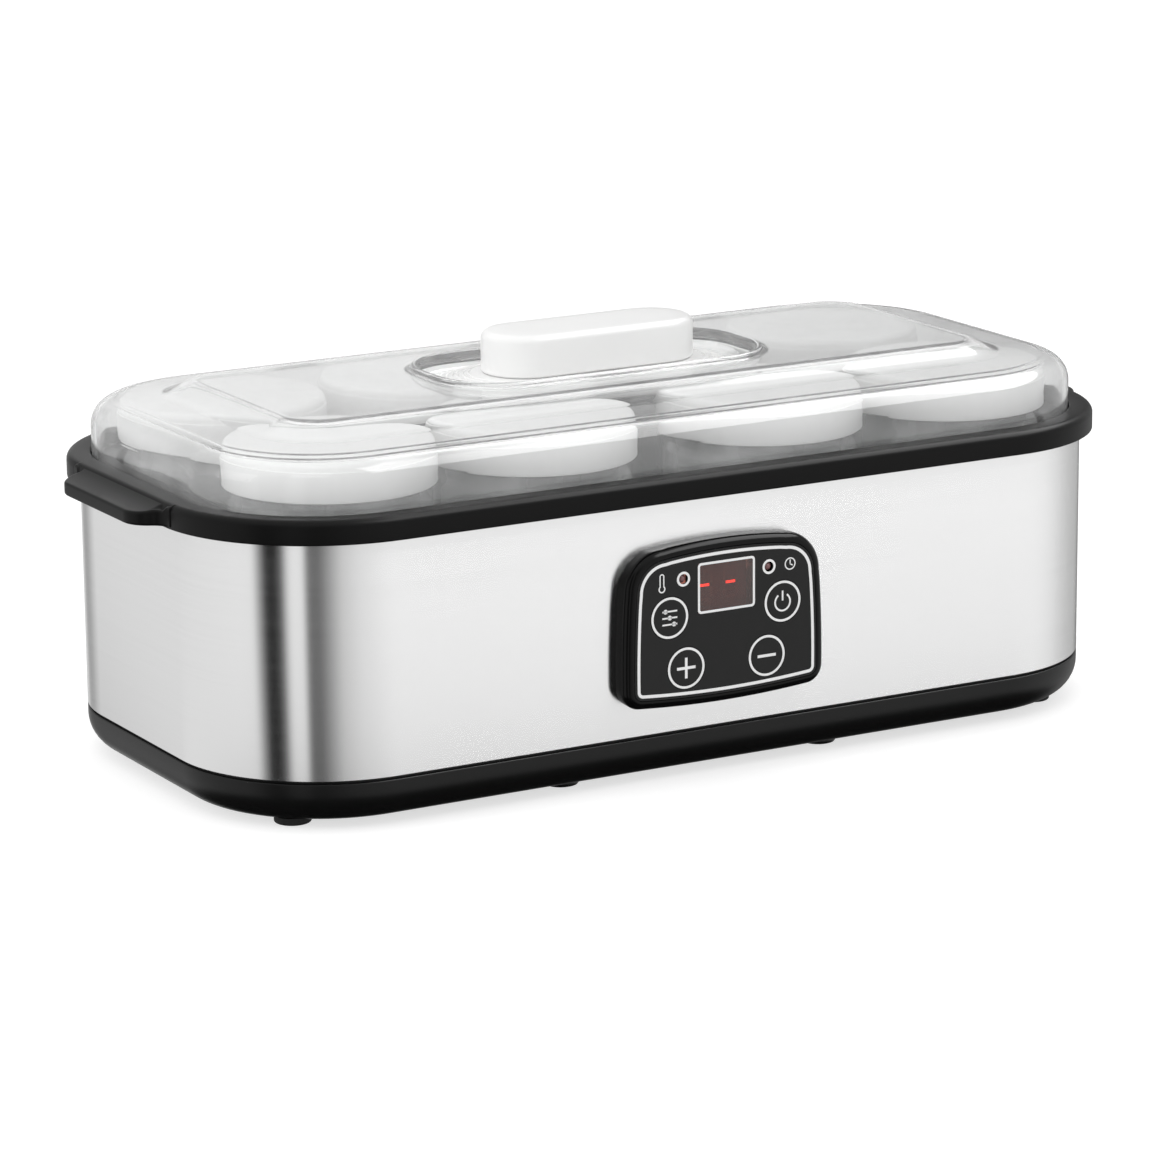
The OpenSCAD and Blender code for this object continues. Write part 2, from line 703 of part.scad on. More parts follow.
module lid_shell() color([0.85, 0.88, 0.9, 0.35]) difference() {
    bead_z = crown_z + bead_h - lid_t / 2;
    floor_r = 2;
    union() {
        difference() {
            union() {
                around(lid_l, lid_w, lid_r) lid_section();
                translate([lid_r - lid_l / 2, lid_r - lid_w / 2, crown_z - lid_t])
                    cube([lid_l - 2 * lid_r, lid_w - 2 * lid_r, lid_t]);
            }
            translate([0, 0, crown_z - 2 * lid_t])
                slab(well_l + lid_t, well_w + lid_t, well_r + lid_t / 2, 4 * lid_t);
        }
        // Well around the knob, with a raised bead
        around(well_l, well_w, well_r) translate([0, well_z]) {
            difference() {
                translate([0, -lid_t])
                    bowl_section(well_r + lid_t, bead_z - well_z + lid_t, floor_r + lid_t);
                bowl_section(well_r, crown_z, floor_r);
            }
            translate([well_r + lid_t / 2, bead_z - well_z]) intersection() {
                circle(lid_t / 2);
                translate([-over, 0]) square([2 * over, over]);
            }
        }
        translate([well_r - well_l / 2, well_r - well_w / 2, well_z - lid_t])
            cube([well_l - 2 * well_r, well_w - 2 * well_r, lid_t]);
    }
    knob_screw_places() cylinder(d = screw_d + 0.4, h = 20);
}

module knob_screw_places() for (sx = [-1, 1])
    translate([sx * (knob_l / 2 - 16), 0, well_z - lid_t - over]) children();

// White plate with ridges that climb towards the knob
module knob_plate() color([0.93, 0.93, 0.93]) {
    spread = 3 + ridges * ridge_pitch;
    r0 = knob_w / 2 + spread;
    l0 = knob_l + 2 * spread;
    r1 = r0 - ridges * ridge_pitch;
    top = knob_z - well_z;
    section = concat([[0, 0], [r0 - 1.1, 0], [r0, 0.5]],
        [for (k = [0 : ridges - 1], p = [[0, 0], [0, 0.35], [0.7, 0.35], [0.7, 0]])
            [r0 - k * ridge_pitch - p[0], plate_t + k * ridge_rise + p[1]]],
        [[r1, top - ridge_rise], [r1, top], [0, top]]);
    difference() {
        translate([0, 0, well_z]) around(l0, 2 * r0, r0) polygon(section);
        knob_screw_places() cylinder(d = screw_d + 0.4, h = 20);
    }
}

module lid_knob() color([0.96, 0.96, 0.96]) difference() {
    translate([0, 0, knob_z]) around(knob_l, knob_w, knob_w / 2)
        dome_section(knob_w / 2, knob_h, knob_round);
    knob_screw_places() cylinder(d = screw_d + 0.1, h = knob_z - well_z + lid_t + over + knob_screw_bite + 1);
}

module knob_screws() color([0.7, 0.7, 0.72])
    knob_screw_places() translate([0, 0, over])
        screw(screw_d, knob_z - well_z + lid_t + knob_screw_bite, knob_head_d, 1.9);

// ---- Jars ----

function jar_place(n) = [jar_x[(n - 1) % 4], n <= 4 ? -row_y : row_y, jar_z];

// Profile of a jar's outside or, set in by t, of its inside
module jar_section(t) {
    body = jar_h - neck_h - 4;
    neck = jar_d / 2 - neck_in;
    translate([0, t]) bowl_section(jar_d / 2 - t, body - t, 6 - t);
    polygon([[0, body - 0.01], [jar_d / 2 - t, body - 0.01], [neck - t, body + 4], [0, body + 4]]);
    translate([0, body + 3.99]) square([neck - t, jar_h - body - 3.99 + (t > 0 ? over : 0)]);
}

module jar(n) color([0.82, 0.87, 0.88, 0.4]) translate(jar_place(n)) rotate_extrude() difference() {
    union() {
        jar_section(0);
        // Bead that the cap snaps over
        translate([jar_d / 2 - neck_in, jar_h - 4]) circle(1.4, $fn = 32);
    }
    jar_section(jar_wall);
}

module jar_cap(n) color([0.96, 0.96, 0.96]) translate([0, 0, cap_z - jar_z] + jar_place(n)) {
    step_z = cap_h - 3.2;
    mouth = jar_d / 2 - neck_in - jar_wall;
    rotate_extrude() {
        difference() {
            union() {
                square([cap_d / 2, step_z]);
                dome_section(cap_d / 2 - 0.45, cap_h, 2.3);
            }
            translate([0, -over]) square([cap_d / 2 - cap_skirt_t, cap_h - cap_top_t + over]);
        }
        // Ring that plugs the jar's mouth
        translate([mouth - 1.3, cap_h - cap_top_t - 2.5]) square([1, 3]);
    }
}

base_pan();
foot(-1, -1);  // foot_front_left
foot(1, -1);  // foot_front_right
foot(-1, 1);  // foot_rear_left
foot(1, 1);  // foot_rear_right
base_screws();
steel_sleeve();
rim_collar();
inner_tub();
heater_plate();
heating_element();
temperature_sensor();
sensor_clip();
thermal_fuse();
panel_bezel();
panel_overlay();
display_window();
display_module();
control_board();
tact_switches();
led(-led_x, [0.9, 0.85, 0.8]);  // temp_led
led(led_x, [0.9, 0.85, 0.8]);  // time_led
button(0);  // mode_button
button(1);  // start_button
button(2);  // plus_button
button(3);  // minus_button
panel_screws();
ribbon_cable();
power_board();
transformer();
filter_capacitor();
relay();
board_screws();
heater_leads();
cord_gland();
lid_shell();
lid_knob();
knob_plate();
knob_screws();
jar(1);  // jar_1
jar(2);  // jar_2
jar(3);  // jar_3
jar(4);  // jar_4
jar(5);  // jar_5
jar(6);  // jar_6
jar(7);  // jar_7
jar(8);  // jar_8
jar_cap(1);  // jar_cap_1
jar_cap(2);  // jar_cap_2
jar_cap(3);  // jar_cap_3
jar_cap(4);  // jar_cap_4
jar_cap(5);  // jar_cap_5
jar_cap(6);  // jar_cap_6
jar_cap(7);  // jar_cap_7
jar_cap(8);  // jar_cap_8
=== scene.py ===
"""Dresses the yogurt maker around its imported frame.

Sizes are in millimetres, with Z up, the front towards -Y and the origin on the table under the
middle of the housing. Meshes are made in metres.
"""

import json
import math

import bmesh
import bpy
from mathutils import Matrix, Vector


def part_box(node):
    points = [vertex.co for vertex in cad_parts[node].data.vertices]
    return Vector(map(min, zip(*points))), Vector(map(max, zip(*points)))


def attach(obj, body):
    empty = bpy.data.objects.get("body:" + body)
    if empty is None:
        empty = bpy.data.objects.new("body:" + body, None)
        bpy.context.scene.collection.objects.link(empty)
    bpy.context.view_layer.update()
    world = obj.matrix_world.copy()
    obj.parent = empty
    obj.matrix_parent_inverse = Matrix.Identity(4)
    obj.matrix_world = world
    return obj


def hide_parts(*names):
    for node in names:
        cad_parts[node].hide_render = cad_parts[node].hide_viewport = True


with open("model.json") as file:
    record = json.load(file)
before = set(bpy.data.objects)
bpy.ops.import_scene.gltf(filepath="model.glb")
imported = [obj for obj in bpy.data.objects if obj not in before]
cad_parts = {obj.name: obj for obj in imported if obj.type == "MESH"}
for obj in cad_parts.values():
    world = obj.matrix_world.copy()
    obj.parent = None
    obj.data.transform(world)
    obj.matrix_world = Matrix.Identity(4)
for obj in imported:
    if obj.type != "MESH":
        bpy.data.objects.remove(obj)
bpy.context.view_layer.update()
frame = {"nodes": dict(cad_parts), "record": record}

MM = 0.001
WELD = 0.002
CORNER_STEPS = 24
TURN_STEPS = 96
QUARTERS = ((1, 1), (-1, 1), (-1, -1), (1, -1))
JARS = range(1, 9)


def node_box(node):
    """A node's lowest and highest corner, in millimetres."""
    low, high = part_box(node)
    return low / MM, high / MM


def over_middle(low, high, z):
    """The point at height z over the middle of a box."""
    return ((low.x + high.x) / 2, (low.y + high.y) / 2, z)


# ---- Meshes ----


class Plan:
    """A rounded rectangle seen from above, with rings at any distance out from it."""

    def __init__(self, length, width, radius):
        self.length, self.width, self.radius = length, width, radius

    def ring(self, out, z):
        """Points round the plan, anticlockwise, moved out by that distance."""
        radius = max(self.radius + out, 0.01)
        far_x = self.length / 2 + out - radius
        far_y = self.width / 2 + out - radius
        points = []
        for quarter, (side_x, side_y) in enumerate(QUARTERS):
            for step in range(CORNER_STEPS + 1):
                angle = math.pi / 2 * (quarter + step / CORNER_STEPS)
                x = side_x * far_x + radius * math.cos(angle)
                y = side_y * far_y + radius * math.sin(angle)
                points.append(Vector((x, y, z)))
        return points

    def rings(self, profile):
        """One ring for each profile point of (distance out, height)."""
        return [self.ring(*p) for p in profile]


def stadium(low, high):
    """The plan of a box with fully rounded ends."""
    return Plan(high.x - low.x, high.y - low.y, (high.y - low.y) / 2)


def arc(x, z, radius, start, end, steps=6):
    """Profile points along an arc; angles are in degrees."""
    return [
        (x + radius * math.cos(a), z + radius * math.sin(a))
        for a in (math.radians(start + (end - start) * k / steps) for k in range(steps + 1))
    ]


def ease(share):
    """A share from 0 to 1 that starts and ends gently."""
    return share * share * (3 - 2 * share)


def put_in_scene(name, data):
    """A new object that shows that data."""
    made = bpy.data.objects.new(name, data)
    bpy.context.scene.collection.objects.link(made)
    return made


def smooth(mesh, sharp):
    """Shades a mesh smooth, but for edges that turn by more degrees than sharp."""
    mesh.shade_smooth()
    mesh.set_sharp_from_angle(angle=math.radians(sharp))


def mesh_object(name, points, faces, sharp=40):
    """A piece from points in millimetres, welded and facing outwards."""
    shape = bmesh.new()
    corners = [shape.verts.new(Vector(p) * MM) for p in points]
    for face in faces:
        shape.faces.new([corners[k] for k in face])
    bmesh.ops.remove_doubles(shape, verts=shape.verts, dist=WELD * MM)
    bmesh.ops.recalc_face_normals(shape, faces=shape.faces)
    mesh = bpy.data.meshes.new(name)
    shape.to_mesh(mesh)
    shape.free()
    smooth(mesh, sharp)
    return put_in_scene(name, mesh)


def loft(name, rings, closed=False, first=False, last=False, sharp=40):
    """Skin over rings of equally many points.

    closed joins the last ring to the first; first and last fill that ring.
    """
    count = len(rings[0])
    points = [p for ring in rings for p in ring]
    faces = []
    for k in range(len(rings) if closed else len(rings) - 1):
        here = k * count
        there = (k + 1) % len(rings) * count
        for j in range(count):
            after = (j + 1) % count
            faces.append((here + j, here + after, there + after, there + j))
    if first:
        faces.append(tuple(reversed(range(count))))
    if last:
        faces.append(tuple((len(rings) - 1) * count + j for j in range(count)))
    return mesh_object(name, points, faces, sharp)


def circle(x, y, radius, steps):
    """Points round a circle."""
    turns = (2 * math.pi * k / steps for k in range(steps))
    return [(x + radius * math.cos(a), y + radius * math.sin(a)) for a in turns]


def turned(name, profile, centre):
    """A turned piece about a vertical axis; profile points go from axis to axis as (radius, z)."""
    x, y, base = centre
    rings = [
        [Vector((*p, base + z)) for p in circle(x, y, radius, TURN_STEPS)]
        for radius, z in profile
    ]
    return loft(name, rings)


# ---- Materials ----


class Value:
    """A socket in a node tree. Arithmetic on it adds Math nodes."""

    def __init__(self, tree, socket):
        self.tree, self.socket = tree, socket

    def __add__(self, other):
        return self.tree.math_of("ADD", self, other)

    __radd__ = __add__

    def __sub__(self, other):
        return self.tree.math_of("SUBTRACT", self, other)

    def __rsub__(self, other):
        return self.tree.math_of("SUBTRACT", other, self)

    def __mul__(self, other):
        return self.tree.math_of("MULTIPLY", self, other)

    __rmul__ = __mul__

    def split(self):
        """The three parts of a vector."""
        part = self.tree.node("SeparateXYZ", {}, {0: self})
        return [Value(self.tree, socket) for socket in part.socket.node.outputs]


class Tree:
    """A node tree that is built one node at a time."""

    def __init__(self, owner, output):
        owner.use_nodes = True
        self.tree = owner.node_tree
        self.tree.nodes.clear()
        self.output = self.tree.nodes.new(output)

    def node(self, kind, settings=None, sockets=None, output=0):
        """Adds a node: its settings are set first, then its sockets' values or links.

        A list of values goes to one socket that takes many links.
        """
        prefix = "" if kind.startswith("GeometryNode") else "ShaderNode"
        made = self.tree.nodes.new(prefix + kind)
        for key, value in (settings or {}).items():
            if key == "stops":
                ramp = made.color_ramp.elements
                while len(ramp) < len(value):
                    ramp.new(1)
                for element, (place, tone) in zip(ramp, value):
                    element.position = place
                    element.color = grey(tone)
            else:
                setattr(made, key, value)
        for key, value in (sockets or {}).items():
            for term in value if isinstance(value, list) else [value]:
                if isinstance(term, Value):
                    self.tree.links.new(term.socket, made.inputs[key])
                else:
                    made.inputs[key].default_value = term
        return Value(self, made.outputs[output])

    def math_of(self, operation, *terms):
        return self.node("Math", {"operation": operation}, dict(enumerate(terms)))

    def ray(self, kind):
        """1 on rays of that kind and 0 on others."""
        return self.node("LightPath", output=f"Is {kind} Ray")

    def place(self, scale=(1, 1, 1)):
        """Object coordinates, stretched."""
        coordinates = self.node("TexCoord", output="Object")
        sockets = {"Vector": coordinates, "Scale": scale}
        return self.node("Mapping", {"vector_type": "POINT"}, sockets)

    def noise(self, scale, detail=3.0, stretch=(1, 1, 1), roughness=0.5):
        """Noise from 0 to 1; scale is in cycles a metre."""
        return self.node("TexNoise", {}, {
            "Vector": self.place(stretch), "Scale": scale, "Detail": detail, "Roughness": roughness,
        })

    def spread(self, value, low, high):
        """A value from 0 to 1, carried over to the range from low to high."""
        return value * (high - low) + low

    def blend(self, factor, first, second):
        """A colour between two others."""
        return self.node("Mix", {"data_type": "RGBA"}, {0: factor, 6: first, 7: second}, output=2)

    def bump(self, height, strength, distance):
        """A normal that follows a height; distance is in millimetres."""
        sockets = {"Height": height, "Strength": strength, "Distance": distance * MM}
        return self.node("Bump", {}, sockets)

    def finish(self, shader):
        """Links the last node to the tree's output."""
        self.tree.links.new(shader.socket, self.output.inputs[0])


class Growth(Tree):
    """A geometry tree with named inputs, in metres, which is grown into one plain piece."""

    KINDS = {
        int: "NodeSocketInt", float: "NodeSocketFloat", bpy.types.Material: "NodeSocketMaterial",
    }

    def __init__(self, name, **inputs):
        self.tree = bpy.data.node_groups.new(name, "GeometryNodeTree")
        self.values = inputs
        face = self.tree.interface
        for key, value in inputs.items():
            face.new_socket(key, in_out="INPUT", socket_type=self.KINDS[type(value)])
        face.new_socket("Geometry", in_out="OUTPUT", socket_type="NodeSocketGeometry")
        self.entry = self.tree.nodes.new("NodeGroupInput")
        self.output = self.tree.nodes.new("NodeGroupOutput")

    def given(self, key):
        """The input of that name."""
        return Value(self, self.entry.outputs[key])

    def vector(self, x, y, z):
        return self.node("CombineXYZ", {}, {0: x, 1: y, 2: z})

    def lifted(self, geometry, z):
        """The geometry, moved up by z."""
        sockets = {0: geometry, "Translation": self.vector(0.0, 0.0, z)}
        return self.node("GeometryNodeTransform", {}, sockets)

    def grow(self, geometry):
        """Ends the tree and returns what it makes as a piece."""
        whole = self.node("GeometryNodeRealizeInstances", {}, {0: geometry})
        sockets = {0: whole, "Material": self.given("Finish")}
        self.finish(self.node("GeometryNodeSetMaterial", {}, sockets))
        piece = put_in_scene(self.tree.name, bpy.data.meshes.new(self.tree.name))
        modifier = piece.modifiers.new("growth", "NODES")
        modifier.node_group = self.tree
        for item in self.tree.interface.items_tree:
            if item.in_out == "INPUT":
                modifier[item.identifier] = self.values[item.name]
        grown = piece.evaluated_get(bpy.context.evaluated_depsgraph_get())
        mesh = bpy.data.meshes.new_from_object(grown)
        piece.modifiers.clear()
        piece.data = mesh
        smooth(mesh, 35)
        return piece


def material(name):
    """A new material and its tree; a plain one that came with the frame gives up the name."""
    if name in bpy.data.materials:
        bpy.data.materials[name].name = "plain_" + name
    made = bpy.data.materials.new(name)
    return Tree(made, "ShaderNodeOutputMaterial"), made


def grey(level):
    return (level, level, level, 1)


def rgb(red, green, blue):
    return (red, green, blue, 1)


def moulded(name, colour, rough, grain=1800, depth=0.02, vary=0.08, gloss=0.5):
    """Moulded plastic, rubber or enamel: a fine grain, and slow changes in tone and roughness."""
    tree, made = material(name)
    fine = tree.noise(grain, 2.0)
    slow = tree.noise(35, 3.0)
    darker = rgb(*(c * (1 - vary) for c in colour[:3]))
    lighter = rgb(*(min(c * (1 + vary), 1) for c in colour[:3]))
    tree.finish(tree.node("BsdfPrincipled", {}, {
        "Base Color": tree.blend(slow, darker, lighter),
        "Roughness": tree.spread(slow * 0.6 + fine * 0.4, rough - 0.05, rough + 0.05),
        "Specular IOR Level": gloss,
        "Normal": tree.bump(fine, 0.35, depth),
    }))
    return made


def brushed(name, tone, rough, anisotropy):
    """Sheet metal that is brushed along its length."""
    tree, made = material(name)
    lines = tree.noise(1.0, 4.0, (9, 9, 1300), 0.7)
    wide = tree.noise(1.0, 2.0, (3, 3, 260))
    scratch = lines * 0.7 + wide * 0.3
    tree.finish(tree.node("BsdfPrincipled", {}, {
        "Base Color": tree.blend(scratch, grey(tone - 0.05), grey(tone + 0.05)),
        "Metallic": 1.0,
        "Roughness": tree.spread(scratch, rough - 0.06, rough + 0.06),
        "Anisotropic": anisotropy,
        "Anisotropic Rotation": 0.25,
        "Normal": tree.bump(lines, 0.12, 0.02),
    }))
    return made


def see_through(name, tint, ior, haze, wave, rough=0.02):
    """Clear glass or plastic with slow waves and streaks of haze. Lamps shine through it."""
    tree, made = material(name)
    streaks = tree.noise(1.0, 3.0, (70, 70, 9))
    waves = tree.noise(22, 2.0)
    body = tree.node("BsdfPrincipled", {}, {
        "Base Color": tint,
        "Roughness": tree.spread(tree.noise(60, 3.0), rough, rough + 0.02),
        "IOR": ior,
        "Transmission Weight": 1.0,
        "Normal": tree.bump(waves, 0.5, wave),
    })
    milk = tree.node("BsdfDiffuse", {}, {"Color": grey(0.9)})
    cloudy = tree.node("MixShader", {}, {0: tree.spread(streaks, 0.0, haze * 2), 1: body, 2: milk})
    clear = tree.node("BsdfTransparent", {}, {"Color": tint})
    rays = tree.ray("Shadow") + tree.ray("Diffuse")
    tree.finish(tree.node("MixShader", {}, {0: rays, 1: cloudy, 2: clear}))
    return made


def glowing(name, colour, strength):
    """A lit segment behind the window, a little uneven."""
    tree, made = material(name)
    tree.finish(tree.node("BsdfPrincipled", {}, {
        "Base Color": colour,
        "Emission Color": tree.blend(tree.noise(900), colour, rgb(1.0, 0.12, 0.08)),
        "Emission Strength": strength,
        "Roughness": 0.4,
    }))
    return made


def circuit(name):
    """Green solder mask with copper tracks below it."""
    tree, made = material(name)
    sockets = {"Vector": tree.place(), "Scale": 260.0}
    cells = tree.node("TexVoronoi", {"distance": "MANHATTAN"}, sockets)
    track = tree.math_of("LESS_THAN", cells, 0.22)
    tree.finish(tree.node("BsdfPrincipled", {}, {
        "Base Color": tree.blend(track, rgb(0.01, 0.12, 0.05), rgb(0.05, 0.28, 0.1)),
        "Roughness": tree.spread(track, 0.35, 0.5),
        "Normal": tree.bump(track, 0.3, 0.03),
    }))
    return made


FINISHES = {made.name: made for made in (
    moulded("black_plastic", grey(0.004), 0.3, 2600, 0.01, gloss=0.26),
    moulded("rim_plastic", grey(0.004), 0.32, 2600, 0.01, gloss=0.13),
    moulded("foot_rubber", grey(0.012), 0.75, 1500, 0.03),
    brushed("screw_steel", 0.62, 0.3, 0.0),
    brushed("brushed_steel", 0.93, 0.2, 0.9),
    moulded("tub_plastic", grey(0.008), 0.35, 2200, 0.012, gloss=0.3),
    brushed("heater_aluminium", 0.8, 0.35, 0.3),
    moulded("heater_wire", rgb(0.55, 0.2, 0.09), 0.6),
    moulded("sensor_body", grey(0.03), 0.5),
    moulded("fuse_ceramic", rgb(0.75, 0.72, 0.65), 0.7, 900, 0.04),
    moulded("gloss_black", grey(0.003), 0.14, 400, 0.004, gloss=0.16),
    moulded("panel_face", grey(0.014), 0.36, 3000, 0.006, gloss=0.2),
    moulded("ink_white", grey(0.82), 0.5, 2500, 0.004, 0.03),
    moulded("display_body", rgb(0.2, 0.085, 0.045), 0.6),
    moulded("segment_off", rgb(0.25, 0.11, 0.065), 0.5),
    glowing("segment_on", rgb(1.0, 0.04, 0.02), 3.0),
    circuit("circuit_board"),
    moulded("switch_plastic", grey(0.03), 0.45),
    moulded("lamp_plastic", rgb(0.2, 0.1, 0.1), 0.3, 900, 0.01),
    moulded("cable_grey", rgb(0.42, 0.42, 0.45), 0.5),
    moulded("transformer_core", rgb(0.06, 0.045, 0.03), 0.45, 700, 0.05),
    moulded("capacitor_sleeve", rgb(0.02, 0.03, 0.1), 0.3),
    moulded("relay_case", rgb(0.03, 0.1, 0.32), 0.35),
    moulded("lead_insulation", rgb(0.45, 0.03, 0.02), 0.5),
    moulded("white_plastic", rgb(0.87, 0.87, 0.865), 0.3, 1800, 0.008, 0.02),
    see_through("clear_plastic", rgb(0.962, 0.965, 0.965), 1.5, 0.08, 0.05),
    see_through("jar_glass", rgb(0.97, 0.98, 0.978), 1.5, 0.2, 0.15),
    see_through("display_lens", rgb(0.5, 0.2, 0.15), 1.45, 0.04, 0.02),
)}


def dress_nodes():
    """Gives every CAD node the finish of its own slot."""
    for part in frame["record"]["subparts"]:
        mesh = frame["nodes"][part["node"]].data
        mesh.materials.clear()
        mesh.materials.append(FINISHES[part["material_slot"]])


def fit(piece, body, slot, *nodes, finish=None):
    """Puts a piece on its body, in the slot's own finish or another, in place of those nodes."""
    if not piece.data.materials:
        piece.data.materials.append(FINISHES[finish or slot])
    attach(piece, body)
    if nodes:
        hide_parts(*nodes)


# ---- Housing ----

steel_low, steel_high = node_box("steel_sleeve")
sleeve_z, collar_z = steel_low.z, steel_high.z
rim_z = node_box("rim_collar")[1].z
lid_seat_z = node_box("inner_tub")[1].z
pan_z = node_box("base_pan")[0].z

STEEL_R = 52
SHEET = 0.8
RIM_OVER = 4.4
RIM_ROUND = 2.5
LEDGE = 8.1
LID_GAP = 0.35
FLANGE = 1.7
LIP_DROP = 4.5
steel_plan = Plan(steel_high.x - steel_low.x, steel_high.y - steel_low.y, STEEL_R)
rim_plan = Plan(
    steel_plan.length + 2 * RIM_OVER, steel_plan.width + 2 * RIM_OVER, STEEL_R + RIM_OVER,
)
lid_plan = Plan(
    rim_plan.length - 2 * (LEDGE + LID_GAP),
    rim_plan.width - 2 * (LEDGE + LID_GAP),
    rim_plan.radius - LEDGE - LID_GAP,
)


def steel_sheets():
    """A sheet round the front and both ends, and a flat one between two seams at the back."""
    hem = 0.25
    seam = Vector((0.3, 0, 0))
    profile = [(-SHEET, sleeve_z)]
    profile += arc(-hem, sleeve_z + hem, hem, -90, 0, 4)
    profile += arc(-hem, collar_z - hem, hem, 0, 90, 4)
    profile += [(-SHEET, collar_z)]
    path = [list(across) for across in zip(*steel_plan.rings(profile))]
    first = CORNER_STEPS + 1
    wrap = loft("steel_wrap", path[first:] + path[:first], first=True, last=True)
    fit(wrap, "housing", "brushed_steel", "steel_sleeve")
    ends = [[p - seam for p in path[first - 1]], [p + seam for p in path[first]]]
    back = loft("steel_back", ends, first=True, last=True)
    fit(back, "housing", "brushed_steel")


def pan():
    """Base pan: a shallow tray with a rounded lower edge, and a shadow gap below the steel."""
    low = 2.5
    radius = 11.2
    wall = 2.4
    top = sleeve_z - 0.9
    lip_top = sleeve_z + LIP_DROP
    lip_out = -1.1
    profile = [(-STEEL_R, low), (-radius - 6, low)]
    profile += arc(-radius, low + radius, radius, -90, 0, 12)
    profile += arc(-0.5, top - 0.5, 0.5, 0, 90, 4)
    profile += [(lip_out, top), (lip_out, lip_top), (-wall - 0.8, lip_top)]
    profile += arc(-radius, low + radius, radius - wall, 0, -90, 8)
    profile += [(-STEEL_R, low + wall)]
    tray = loft("pan", steel_plan.rings(profile), first=True, last=True)
    fit(tray, "housing", "black_plastic", "base_pan")


def rim():
    """Rim with its ledge, the step down to the lid's seat and the lip inside the steel."""
    foot = 0.5
    inner = 0.5
    seat_z = lid_seat_z - FLANGE
    wall = -LEDGE - 1.95
    lip = -RIM_OVER - 1
    lip_in = lip - 2.05
    profile = arc(-foot, collar_z + foot, foot, -90, 0, 4)
    profile += arc(-RIM_ROUND, rim_z - RIM_ROUND, RIM_ROUND, 0, 90, 10)
    profile += arc(-LEDGE + inner, rim_z - inner, inner, 90, 180, 4)
    profile += [(-LEDGE, seat_z), (wall, seat_z), (wall, collar_z), (lip_in, collar_z)]
    profile += [(lip_in, collar_z - LIP_DROP), (lip, collar_z - LIP_DROP), (lip, collar_z)]
    collar = loft("rim", rim_plan.rings(profile), closed=True)
    fit(collar, "housing", "black_plastic", "rim_collar", finish="rim_plastic")


HANDLE_W = 64
HANDLE_OUT = 9.6
HANDLE_T = 4.6
HANDLE_LOW = collar_z + 0.5
HANDLE_STEPS = 12


def handle_edge():
    """Plan of a handle's edge, as (out from the rim, place across, direction out of the edge)."""
    corner = 10
    hollow = 7
    reach = hollow + corner
    meet = math.acos((reach - HANDLE_OUT) / reach)
    middle = HANDLE_W / 2 - corner
    start = middle + reach * math.sin(meet)
    half = []
    for k in range(HANDLE_STEPS):
        nx, ny = math.cos(meet * k / HANDLE_STEPS), math.sin(meet * k / HANDLE_STEPS)
        half.append((hollow * (1 - nx), start - hollow * ny, nx, ny))
    for k in range(HANDLE_STEPS + 1):
        angle = meet * (1 - k / HANDLE_STEPS)
        nx, ny = math.cos(angle), math.sin(angle)
        half.append((HANDLE_OUT - corner + corner * nx, middle + corner * ny, nx, ny))
    half += [(HANDLE_OUT, y, 1, 0) for y in (14, 7, 0)]
    return half + [(out, -y, nx, -ny) for out, y, nx, ny in reversed(half[:-1])]


def handle(name, side):
    """Broad handle on one end of the rim: a hollow slope down to a rounded lip."""
    lip = 1.0
    inner = -4.5
    under = 0.02
    blend_run = 5
    base = rim_plan.length / 2
    edge_z = HANDLE_LOW + HANDLE_T
    slope_top = rim_z - 0.05
    slope_end = HANDLE_OUT - 1
    slope_run = HANDLE_OUT + 1.2
    turn = arc(0, 0, lip, 0, 90, 5)

    def rim_top(x):
        """Height of the rim's own rounded edge."""
        past = min(max(x + RIM_ROUND, 0), RIM_ROUND)
        return rim_z - RIM_ROUND + math.sqrt(max(RIM_ROUND ** 2 - past ** 2, 0))

    def slope(x):
        """Height of the handle's hollow slope."""
        share = min(max((slope_end - x) / slope_run, 0), 1)
        return edge_z + (slope_top - edge_z) * share ** 2

    sections = []
    for out, y, nx, ny in handle_edge():
        spread = ease(min(out / blend_run, 1))

        def top(x):
            return rim_top(x) * (1 - spread) + slope(x) * spread - under

        edge_x, edge_y = out - lip * nx, y - lip * ny
        section = []
        for k in range(HANDLE_STEPS + 1):
            x = inner + (edge_x - inner) * k / HANDLE_STEPS
            section.append((x, edge_y, top(x)))
        height = top(edge_x) - lip
        for up, away in turn[1:]:
            section.append((edge_x + away * nx, edge_y + away * ny, height + up))
        for away, down in turn:
            section.append((edge_x + away * nx, edge_y + away * ny, HANDLE_LOW + lip - down))
        section.append((inner, edge_y, HANDLE_LOW))
        sections.append([Vector((side * (base + x), side * across, z)) for x, across, z in section])
    grip = loft(name, sections, sharp=50)
    close_ends(grip)
    fit(grip, "housing", "black_plastic", finish="rim_plastic")


def close_ends(piece):
    """Fills the open loops of a lofted piece."""
    shape = bmesh.new()
    shape.from_mesh(piece.data)
    bmesh.ops.holes_fill(shape, edges=shape.edges)
    bmesh.ops.recalc_face_normals(shape, faces=shape.faces)
    shape.to_mesh(piece.data)
    shape.free()


TUB_R = 36


